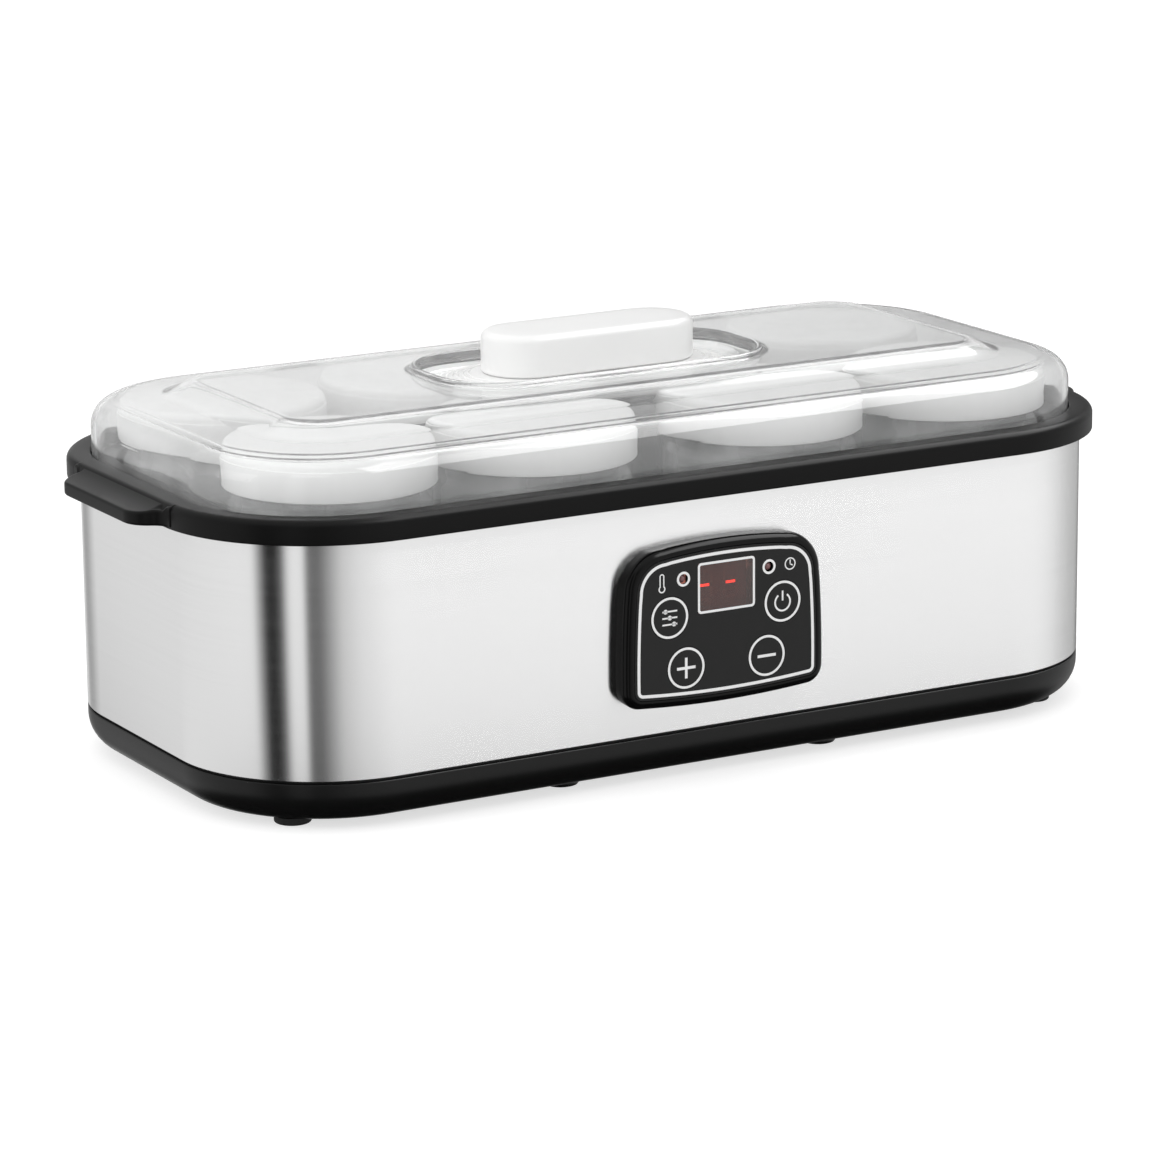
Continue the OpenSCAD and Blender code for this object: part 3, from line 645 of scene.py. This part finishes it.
def tub():
    """Inner tub with a filleted floor and a flange that lies in the rim."""
    plan = Plan(307, 149, TUB_R)
    floor = 41.5
    wall = 2.2
    fillet = 4
    mouth = 1.2
    under_z = lid_seat_z - FLANGE
    flange = Plan(lid_plan.length + 0.2, lid_plan.width + 0.2, lid_plan.radius + 0.1)
    inside = [(-TUB_R, floor), (-fillet - 2, floor)]
    inside += arc(-fillet, floor + fillet, fillet, -90, 0, 8)
    inside += arc(mouth, lid_seat_z - mouth, mouth, 180, 90, 5)
    outside = [(wall, under_z)]
    outside += arc(-fillet, floor + fillet, fillet + wall, 0, -90, 8)
    outside += [(-TUB_R, floor - wall)]
    edge = flange.rings([(0, lid_seat_z), (0, under_z)])
    rings = plan.rings(inside) + edge + plan.rings(outside)
    liner = loft("tub", rings, first=True, last=True)
    fit(liner, "housing", "tub_plastic", "inner_tub")


# ---- Lid ----

LID_T = 1.8
SHOULDER = 8.5
EDGE_Z = 121.1
CROWN_Z = 127.0
BAND_EDGE = 0.8
BAND_LIFT = 0.3
BAND_RISE = 1.5
STEP_AT = -SHOULDER - 21.5
STEP_OUT = 7
STEP_RUN = 13
BEAD_RISE = 1.3
WELL_R = 22
shell_z = node_box("lid_shell")[0].z
well_plan = Plan(120, 56, WELL_R)
well_z = node_box("knob_plate")[0].z


def lid_skin(shift):
    """Rings of the lid's outer skin, or of a skin that far below it."""
    crown = CROWN_Z - shift
    band_run = STEP_AT + STEP_OUT + SHOULDER + BAND_EDGE
    rise = CROWN_Z - EDGE_Z - BAND_RISE
    outer = [(-shift, shell_z)]
    outer += arc(-SHOULDER, EDGE_Z - SHOULDER, SHOULDER - shift, 0, 90, 14)
    for share in (k / 8 for k in range(9)):
        z = EDGE_Z + BAND_LIFT + (BAND_RISE - BAND_LIFT) * share - shift
        outer.append((-SHOULDER - BAND_EDGE + band_run * share, z))
    for share in (k / 14 for k in range(1, 15)):
        z = EDGE_Z + BAND_RISE + rise * ease(share) - shift
        outer.append((STEP_AT + STEP_OUT - STEP_RUN * share, z))
    outer.append((STEP_AT - 7.5, crown))
    bead = LID_T / 2
    bead_z = CROWN_Z + BEAD_RISE - bead
    floor_r = 2
    inner = [(LID_T + 2.6, crown)]
    if shift:
        inner += [(LID_T + 1, crown), (LID_T - 0.6, crown - 0.5)]
    else:
        inner += [(LID_T + 0.8, crown)] + arc(bead, bead_z, bead, 0, 180, 8)
    inner += arc(-floor_r, well_z + floor_r, floor_r + shift, 0, -90, 6)
    inner += [(-WELL_R, well_z - shift)]
    return lid_plan.rings(outer) + well_plan.rings(inner)


def clear_lid():
    """Clear lid: a rounded shoulder, a soft step up to the crown and a well with a bead."""
    shell = loft("clear_lid", lid_skin(0) + lid_skin(LID_T)[::-1], closed=True, sharp=30)
    fit(shell, "lid", "clear_plastic", "lid_shell")


def knob():
    """White knob with a rounded top edge."""
    low, high = node_box("lid_knob")
    chamfer = 0.6
    edge = 3
    profile = [(-15, low.z), (-chamfer, low.z), (0, low.z + chamfer)]
    profile += arc(-edge, high.z - edge, edge, 0, 78, 8)
    profile += [(-8, high.z - 0.03), (-15, high.z)]
    top = loft("knob", stadium(low, high).rings(profile), first=True, last=True)
    fit(top, "lid", "white_plastic", "lid_knob")


def ridged_plate():
    """Plate under the knob: ridges climb towards the knob."""
    low, high = node_box("knob_plate")
    plan = stadium(low, high)
    bead = 0.45
    edge_z, top_z = low.z + 0.9, high.z - 0.2
    profile = [(-plan.radius, low.z), (0, low.z), (0, edge_z), (-9, top_z), (-plan.radius, top_z)]
    plate = loft("ridged_plate", plan.rings(profile), first=True, last=True, sharp=25)
    fit(plate, "lid", "white_plastic", "knob_plate")
    ridges = grown_ridges(
        Ridges=5, Pitch=1.8 * MM, Rise=0.5 * MM, Radius=(plan.radius - bead) * MM,
        Thickness=bead * MM, Reach=(plan.length - plan.width) / 2 * MM,
        Height=(low.z + 0.95) * MM, Finish=FINISHES["white_plastic"],
    )
    fit(ridges, "lid", "white_plastic")


def grown_ridges(**sizes):
    """Beads round a stadium, each a pitch further in and a rise higher than the last."""
    tree = Growth("plate_ridges", **sizes)
    round_curve = "GeometryNodeCurvePrimitiveCircle"
    loop = tree.node(round_curve, {}, {"Resolution": 96, "Radius": 1.0})
    starts = tree.node("GeometryNodePoints", {}, {"Count": tree.given("Ridges")})
    loops = tree.node("GeometryNodeInstanceOnPoints", {}, {"Points": starts, "Instance": loop})
    marked = tree.node(
        "GeometryNodeStoreNamedAttribute",
        {"domain": "INSTANCE", "data_type": "FLOAT"},
        {0: loops, "Name": "number", "Value": tree.node("GeometryNodeInputIndex")},
    )
    loose = tree.node("GeometryNodeRealizeInstances", {}, {0: marked})
    number = tree.node(
        "GeometryNodeInputNamedAttribute", {"data_type": "FLOAT"}, {"Name": "number"},
    )
    x, y, _ = tree.node("GeometryNodeInputPosition").split()
    radius = tree.given("Radius") - number * tree.given("Pitch")
    place = tree.vector(
        x * radius + tree.math_of("SIGN", x) * tree.given("Reach"),
        y * radius,
        tree.given("Height") + number * tree.given("Rise"),
    )
    moved = tree.node("GeometryNodeSetPosition", {}, {0: loose, "Position": place})
    section = tree.node(round_curve, {}, {"Resolution": 12, "Radius": tree.given("Thickness")})
    sockets = {"Curve": moved, "Profile Curve": section}
    return tree.grow(tree.node("GeometryNodeCurveToMesh", {}, sockets))


# ---- Pads and screws ----

PAD_X = 50
PAD_Y = 68


def pads():
    """Low pads under the pan, between the feet."""
    profile = [(0, -1.5), (5.0, -1.5), (5.6, -1.3), (6.0, -0.8), (6.0, 0), (0, 0)]
    for side, x in (("left", -PAD_X), ("right", PAD_X)):
        for end, y in (("front", -PAD_Y), ("rear", PAD_Y)):
            pad = turned(f"pad_{side}_{end}", profile, (x, y, pan_z + 0.4))
            fit(pad, "housing", "black_plastic")


def grown_screws(name, **sizes):
    """Screws in columns and rows, heads down, each with a cross in its head."""
    tree = Growth(name, **sizes)
    length, width = tree.given("Length"), tree.given("Shank Width")
    head_h, head = tree.given("Head Height"), tree.given("Head Width")

    def rod(sides, across, depth):
        sockets = {"Vertices": sides, "Radius": across * 0.5, "Depth": depth}
        return tree.node("GeometryNodeMeshCylinder", {}, sockets)

    shank = tree.lifted(rod(24, width, length), length * 0.5)
    disc = tree.lifted(rod(32, head, head_h), head_h * -0.5)
    for long, wide in ((0.6, 0.14), (0.14, 0.6)):
        size = tree.vector(head * long, head * wide, head_h)
        arm = tree.lifted(tree.node("GeometryNodeMeshCube", {}, {"Size": size}), head_h * -1.0)
        sockets = {"Mesh 1": disc, "Mesh 2": arm}
        disc = tree.node("GeometryNodeMeshBoolean", {"operation": "DIFFERENCE"}, sockets)
    grid = tree.node("GeometryNodeMeshGrid", {}, {
        "Size X": tree.given("Across"), "Size Y": tree.given("Deep"),
        "Vertices X": tree.given("Columns"), "Vertices Y": tree.given("Rows"),
    })
    screw = tree.node("GeometryNodeJoinGeometry", {}, {0: [shank, disc]})
    sockets = {"Points": grid, "Instance": screw}
    return tree.grow(tree.node("GeometryNodeInstanceOnPoints", {}, sockets))


def screws(node, body, rows, head_w, head_h, shank_w, heads_up=False):
    """Dresses a node of screws in two columns."""
    low, high = node_box(node)
    piece = grown_screws(f"{node}_grown", **{
        "Columns": 2, "Rows": rows, "Finish": FINISHES["screw_steel"],
        "Across": (high.x - low.x - head_w) * MM, "Deep": max(high.y - low.y - head_w, 0.0) * MM,
        "Head Width": head_w * MM, "Head Height": head_h * MM,
        "Shank Width": shank_w * MM, "Length": (high.z - low.z - head_h) * MM,
    })
    seat = high.z - head_h if heads_up else low.z + head_h
    turn = Matrix.Rotation(math.pi if heads_up else 0, 4, "X")
    lift = Matrix.Translation(Vector(over_middle(low, high, seat)) * MM)
    piece.data.transform(lift @ turn)
    fit(piece, body, "screw_steel", node)


# ---- Jars ----

JAR_R = 33
NECK_R = 31.25
JAR_H = 75.4
GLASS = 2.6


def jar(number):
    """Pressed glass jar with a thick foot, a shoulder and a bead under the mouth."""
    low, high = node_box(f"jar_{number}")
    body = JAR_H - 19
    lip = 1.1
    bead = 1.4
    heel = 6
    mouth = 0.8
    outside = [(0, 1.2), (JAR_R - 12, 1.0), (JAR_R - 9, 0.0)]
    outside += arc(JAR_R - heel, heel, heel, -90, 0, 8)
    outside += [(JAR_R, body), (JAR_R - 0.4, body + 1.4)]
    outside += [(NECK_R + 0.3, body + 3.2), (NECK_R, body + 4.2), (NECK_R, JAR_H - 5.6)]
    outside += arc(NECK_R, JAR_H - 4, bead, -80, 80, 8)
    outside += arc(NECK_R - lip, JAR_H - lip, lip, 0, 90, 4)
    inside = arc(NECK_R - GLASS + mouth, JAR_H - mouth, mouth, 90, 180, 4)
    inside += [(NECK_R - GLASS, body + 4), (JAR_R - GLASS, body - 0.5)]
    inside += arc(JAR_R - GLASS - 5, GLASS + 5.4, 5, 0, -90, 8)
    inside += [(0, GLASS + 0.9)]
    glass = turned(f"glass_jar_{number}", outside + inside, over_middle(low, high, low.z))
    fit(glass, f"jar_{number}", "jar_glass", f"jar_{number}")


def cap(number):
    """Snap-on cap: rounded top edge, a fine step below it, a skirt and a sealing ring."""
    low, high = node_box(f"jar_cap_{number}")
    radius = (high.x - low.x) / 2
    height = high.z - low.z
    edge = 2.3
    hem = 0.4
    step = height - 3.2
    under = height - 1.5
    seal_out, seal_in, seal_z = 28.35, 27.35, height - 4
    profile = [(0, height - 0.25), (radius - 8, height - 0.2)]
    profile += arc(radius - 2.75, height - edge, edge, 88, 0, 8)
    profile += [(radius - 0.45, step + 0.1), (radius - 0.05, step)]
    profile += arc(radius - hem, hem, hem, 0, -90, 4)
    profile += [(radius - 1.3, 0), (radius - 1.3, under), (seal_out, under), (seal_out, seal_z)]
    profile += [(seal_in, seal_z), (seal_in, under), (0, under)]
    top = turned(f"cap_{number}", profile, over_middle(low, high, low.z))
    fit(top, f"jar_cap_{number}", "white_plastic", f"jar_cap_{number}")


# ---- Control panel ----

bezel_low, bezel_high = node_box("panel_bezel")
window_low, window_high = node_box("display_window")
FACE_Y = bezel_low.y
PANEL_W = bezel_high.x - bezel_low.x
PANEL_H = 55.7
PANEL_Z = 26.8
PRINT_T = 0.04
WINDOW_X = (window_low.x + window_high.x) / 2
WINDOW_Z = (window_low.z + window_high.z) / 2


def panel_outline(inset, steps=10):
    """The panel's outline in X and Z: bowed sides, a raised top and wide upper corners."""
    half = PANEL_W / 2 - inset
    top = PANEL_Z + PANEL_H - inset
    low = PANEL_Z + inset
    side_r = 400 - inset
    waist = PANEL_Z + 12
    upper_r = 14 - inset
    lower_r = max(6.5 - inset, 0.9)
    crown = 1.9
    sag = 1.3

    def side_x(z):
        return half - side_r + math.sqrt(side_r ** 2 - (z - waist) ** 2)

    def top_z(x):
        return top - crown * (x / (PANEL_W / 2 - 10)) ** 2

    def low_z(x):
        return low + sag * (x / (PANEL_W / 2 - 7)) ** 2

    upper = (side_x(top - upper_r) - upper_r, top_z(half - upper_r) - upper_r)
    lower = (side_x(low + lower_r) - lower_r, low_z(half - lower_r) + lower_r)
    shares = [k / steps for k in range(1, steps)]
    right = [(lower[0] * share, low_z(lower[0] * share)) for share in [0] + shares]
    right += arc(*lower, lower_r, -90, 0, 12)
    for share in shares:
        z = lower[1] + (upper[1] - lower[1]) * share
        right.append((side_x(z), z))
    right += arc(*upper, upper_r, 0, 90, 16)
    right += [(x, top_z(x)) for x in (upper[0] * (1 - share) for share in shares)]
    left = [(-x, z) for x, z in right[1:]]
    return right + [(0, top)] + left[::-1]


def rounded_outline(width, height, radius, x, z):
    """A rounded rectangle in X and Z."""
    points = []
    for quarter, (side_x, side_z) in enumerate(QUARTERS):
        corner = (x + side_x * (width / 2 - radius), z + side_z * (height / 2 - radius))
        points += arc(*corner, radius, 90 * quarter, 90 * quarter + 90)
    return points


def upright(outline, y):
    """An outline in X and Z, stood up at that depth."""
    return [Vector((x, y, z)) for x, z in outline]


def bezel():
    """Glossy frame round the panel's face, with a rounded edge."""
    edge = 3
    opening = 5.6
    ledge = FACE_Y + 0.62
    back = steel_low.y + 1.5
    outlines = [(0.3, back), (0, FACE_Y + edge + 0.3)]
    for a in (math.radians(90 * k / 8) for k in range(9)):
        outlines.append((edge * (1 - math.cos(a)), FACE_Y + edge * (1 - math.sin(a))))
    outlines += [(3.15, FACE_Y + 0.05), (3.25, FACE_Y + 0.3), (3.3, ledge)]
    outlines += [(opening, ledge), (opening, back)]
    rings = [upright(panel_outline(inset), y) for inset, y in outlines]
    ring = loft("bezel", rings, closed=True, sharp=35)
    fit(ring, "housing", "gloss_black", "panel_bezel")


class Print:
    """White ink on the panel's face: bands and strokes, drawn in X and Z."""

    def __init__(self, face=FACE_Y):
        self.face = face
        self.points = []
        self.faces = []

    def band(self, outer, inner, closed=True):
        """Ink between two outlines of equally many points."""
        count = len(outer)
        base = len(self.points)
        front = self.face - PRINT_T
        back = self.face + PRINT_T
        for outline, y in ((outer, front), (inner, front), (inner, back), (outer, back)):
            self.points += upright(outline, y)
        for j in range(count if closed else count - 1):
            after = (j + 1) % count
            for a, b in ((0, 1), (1, 2), (2, 3), (3, 0)):
                here, there = base + a * count, base + b * count
                self.faces.append((here + j, here + after, there + after, there + j))
        if not closed:
            for j in (0, count - 1):
                self.faces.append(tuple(base + a * count + j for a in range(4)))

    def ring(self, x, z, radius, width, start=0, end=360, steps=48):
        """Ink round a circle, or along part of it."""
        closed = end - start >= 360
        outer = arc(x, z, radius, start, end, steps)
        inner = arc(x, z, radius - width, start, end, steps)
        if closed:
            outer.pop()
            inner.pop()
        self.band(outer, inner, closed)

    def stroke(self, start, end, width):
        """A straight stroke."""
        start, end = Vector(start), Vector(end)
        along = (end - start).normalized() * width / 2
        side = Vector((-along.y, along.x))
        self.band([start + side, end + side], [start - side, end - side], closed=False)

    def done(self, name, body, slot="panel_face", finish="ink_white"):
        """Makes the marks one piece."""
        fit(mesh_object(name, self.points, self.faces, 30), body, slot, finish=finish)


def panel_print():
    """Lines on the face: border, window frame, lamp rings and the two signs beside them."""
    fine = 0.4
    lamp_x, lamp_z = 16.35, 70.6
    bulb_x, bulb_z = -24.5, 68.2
    clock_x = -bulb_x
    ink = Print()
    ink.band(panel_outline(4.3), panel_outline(5.35))
    ink.band(
        rounded_outline(21.8, 17.1, 1.3, WINDOW_X, WINDOW_Z),
        rounded_outline(20.2, 15.5, 0.6, WINDOW_X, WINDOW_Z),
    )
    for side in (-1, 1):
        ink.ring(side * lamp_x, lamp_z, 2.5, 0.8, steps=32)
    # Thermometer: a bulb and a stem
    ink.ring(bulb_x, bulb_z, 1.3, 0.45, start=-240, end=60, steps=24)
    for side in (-0.7, 0.7):
        ink.stroke((bulb_x + side, bulb_z + 1), (bulb_x + side, bulb_z + 4.2), fine)
    ink.ring(bulb_x, bulb_z + 4.2, 0.9, fine, start=0, end=180, steps=12)
    # Clock: a face and two hands
    ink.ring(clock_x, lamp_z, 2.1, fine, steps=32)
    ink.stroke((clock_x, lamp_z - 0.2), (clock_x, lamp_z + 1.4), fine)
    ink.stroke((clock_x - 0.2, lamp_z), (clock_x + 1, lamp_z - 0.6), fine)
    ink.done("panel_print", "housing")


KEY_R = 7.05
KEY_SKIRT = 7.9


def button_cap(name):
    """Round key cap with a soft edge and a stem; returns the place of its middle."""
    low, high = node_box(name)
    x, z = (low.x + high.x) / 2, (low.z + high.z) / 2
    stem = 2.5
    end = high.y - low.y
    skirt, under = 2.5, 3.3
    profile = [(0, 0.06), (KEY_R - 2.5, 0.02), (KEY_R - 0.4, 0.0), (KEY_R - 0.1, 0.1)]
    profile += [(KEY_R, 0.35), (KEY_R, skirt), (KEY_SKIRT, skirt), (KEY_SKIRT, under)]
    profile += [(stem, under), (stem, end), (0, end)]
    rings = [upright(circle(x, z, out, 64), FACE_Y + depth) for out, depth in profile]
    fit(loft(f"{name}_cap", rings), name, "panel_face", name)
    return x, z


def buttons():
    """The four keys with their rings and signs."""
    bold, fine = 0.95, 0.6
    arm = 3.5
    for name in ("mode_button", "start_button", "plus_button", "minus_button"):
        x, z = button_cap(name)
        ink = Print()
        ink.ring(x, z, KEY_R - 0.1, 0.8)
        if name in ("minus_button", "plus_button"):
            ink.stroke((x - arm, z), (x + arm, z), bold)
        if name == "plus_button":
            for side in (-1, 1):
                ink.stroke((x, z + side * bold / 2), (x, z + side * arm), bold)
        if name == "start_button":
            ink.ring(x, z - 0.3, 3.2, fine, start=125, end=415)
            ink.stroke((x, z + 0.2), (x, z + 3.6), fine)
        if name == "mode_button":
            for row in (-1, 0, 1):
                level = z - 2.2 * row
                ink.stroke((x - 2.8, level), (x + 2.8, level), 0.55)
                ink.ring(x + 1.6 * row, level, 0.8, 0.5, steps=16)
        ink.done(f"{name}_print", name)


def display():
    """Two digits behind the window; only their middle segments are lit."""
    low, high = node_box("display_module")
    front = low.y + 0.3
    middle = WINDOW_Z - 0.4
    block = rounded_outline(high.x - low.x, 17.8, 0.3, WINDOW_X, middle)
    rings = [upright(block, front), upright(block, high.y)]
    body = loft("display_block", rings, first=True, last=True)
    fit(body, "housing", "display_body", "display_module")
    bar = 1.8
    pitch = 4.9
    width = 0.9
    lit, unlit = Print(front), Print(front)
    for digit in (-1, 1):
        x = WINDOW_X - 0.5 + digit * 4.95
        for row in (-1, 0, 1):
            z = middle + row * pitch
            target = lit if row == 0 else unlit
            target.stroke((x - bar, z), (x + bar, z), width)
        for column in (-1, 1):
            for row in (-1, 1):
                across, z = x + column * pitch / 2, middle + row * pitch / 2
                unlit.stroke((across, z - bar), (across, z + bar), width)
    lit.done("lit_segments", "housing", "display_body", "segment_on")
    unlit.done("unlit_segments", "housing", "display_body", "segment_off")


# ---- Studio ----

FLOOR_HALF = 12000


def studio_floor():
    """White floor: it keeps the shadow and stays out of the mirror images."""
    corners = [Vector((x, y, 0)) * FLOOR_HALF * MM for x, y in ((-1, -1), (1, -1), (1, 1), (-1, 1))]
    mesh = bpy.data.meshes.new("floor")
    mesh.from_pydata(corners, [], [(0, 1, 2, 3)])
    floor = put_in_scene("floor", mesh)
    tree, made = material("floor_white")
    matt = tree.node("BsdfDiffuse", {}, {"Color": grey(0.8)})
    shade = tree.node("BsdfDiffuse", {}, {"Color": grey(0.5)})
    lift = tree.node("Emission", {}, {"Color": grey(1.0), "Strength": 0.66})
    shown = tree.node("AddShader", {}, {0: shade, 1: lift})
    tree.finish(tree.node("MixShader", {}, {0: tree.ray("Camera"), 1: matt, 2: shown}))
    mesh.materials.append(made)
    floor.visible_glossy = False


# Tones of the studio walls by compass direction, in degrees from +X towards +Y: dark flags stand
# between pale walls, so that the steel's round corners show crisp bands
WALLS = [
    (-180, 0.82), (-168, 0.82), (-163, 0.35), (-158, 0.02), (-151, 0.012), (-146, 0.12),
    (-141, 0.75), (-138, 0.84), (-131, 0.84), (-128.5, 0.3), (-126, 0.13), (-119, 0.15),
    (-112, 0.34), (-103, 0.62), (-90, 0.77), (-60, 0.9), (-36, 0.9), (-25, 0.87),
    (-12, 0.78), (0, 0.66), (12, 0.56), (22, 0.5), (32, 0.48), (45, 0.2),
    (56, 0.26), (61, 0.66), (78, 0.72), (88, 0.35), (98, 0.38), (106, 0.55),
    (113, 0.74), (180, 0.82),
]
SOFTBOX = 7.0


def studio_world():
    """Pale walls with dark flags and a softbox for mirror images, and white for the camera.

    Matt surfaces get an even light instead.
    """
    world = bpy.data.worlds.new("studio")
    bpy.context.scene.world = world
    world.cycles.sampling_method = "NONE"
    tree = Tree(world, "ShaderNodeOutputWorld")
    x, y, z = tree.node("TexCoord", output="Generated").split()

    def ramp(value, low, high, kind="SMOOTHSTEP"):
        return tree.node("MapRange", {"interpolation_type": kind}, {0: value, 1: low, 2: high})

    angle = tree.math_of("ARCTAN2", y, x) * (180 / math.pi)
    stops = [((degrees + 180) / 360, tone) for degrees, tone in WALLS]
    walls = tree.node("ValToRGB", {"stops": stops}, {0: angle * (1 / 360) + 0.5})
    ceiling = tree.blend(ramp(z, 0.45, 0.75), walls, grey(1.0))
    floor = tree.blend(ramp(z, -0.45, -0.65), ceiling, grey(0.02))
    softbox = ramp(z, 0.55, 0.6) * ramp(z, 0.92, 0.86) * ramp(angle, -75, -65) * ramp(angle, 40, 30)
    mirrored = tree.blend(softbox, floor, grey(SOFTBOX))
    plain = tree.blend(ramp(z, -1.0, 1.0, "LINEAR"), grey(0.7), grey(1.05))
    seen = tree.ray("Camera") + tree.ray("Transmission")
    colour = tree.blend(seen, tree.blend(tree.ray("Glossy"), plain, mirrored), grey(1.0))
    tree.finish(tree.node("Background", {}, {"Color": colour, "Strength": 1.0}))


def lamp(name, place, power):
    """Soft area lamp that looks at the housing; its place is in metres."""
    light = bpy.data.lights.new(name, "AREA")
    light.shape = "SQUARE"
    light.size = 0.9
    light.energy = power
    holder = put_in_scene(name, light)
    holder.location = place
    aim = Vector((0, 0, 0.08)) - Vector(place)
    holder.rotation_euler = aim.to_track_quat("-Z", "Y").to_euler()
    holder.visible_glossy = False


def studio_camera():
    """Long lens from the front left, a little above; its place is in metres."""
    data = bpy.data.cameras.new("camera")
    data.sensor_width = 36
    data.lens = 152.8
    data.clip_start = 0.05
    data.clip_end = 100
    camera = put_in_scene("camera", data)
    turn, tilt, roll = (math.radians(angle) for angle in (-29.35, 13.91, -0.55))
    side, ahead = math.sin(turn), math.cos(turn)
    back = Vector((math.cos(tilt) * side, -math.cos(tilt) * ahead, math.sin(tilt)))
    level = Vector((ahead, side, 0))
    above = back.cross(level)
    right = level * math.cos(roll) + above * math.sin(roll)
    up = above * math.cos(roll) - level * math.sin(roll)
    aim = Matrix((right, up, back)).transposed().to_4x4()
    camera.matrix_world = Matrix.Translation((-0.8090, -1.4320, 0.4563)) @ aim
    bpy.context.scene.camera = camera


studio_camera()
studio_floor()
studio_world()
lamp("key", (-0.9, -1.1, 1.6), 4)
lamp("side", (-1.5, 0.2, 0.5), 5)

dress_nodes()
steel_sheets()
pan()
rim()
handle("handle_left", -1)
handle("handle_right", 1)
tub()
clear_lid()
knob()
ridged_plate()
pads()
screws("base_screws", "housing", rows=2, head_w=6.5, head_h=2.4, shank_w=3.0)
screws("board_screws", "housing", rows=2, head_w=4.4, head_h=1.5, shank_w=2.0, heads_up=True)
screws("knob_screws", "lid", rows=1, head_w=6.4, head_h=1.9, shank_w=3.0)
for number in JARS:
    jar(number)
    cap(number)
bezel()
panel_print()
buttons()
display()

scene = bpy.context.scene
scene.view_settings.view_transform = "Standard"
scene.cycles.max_bounces = 24
scene.cycles.transmission_bounces = 20
scene.cycles.transparent_max_bounces = 24
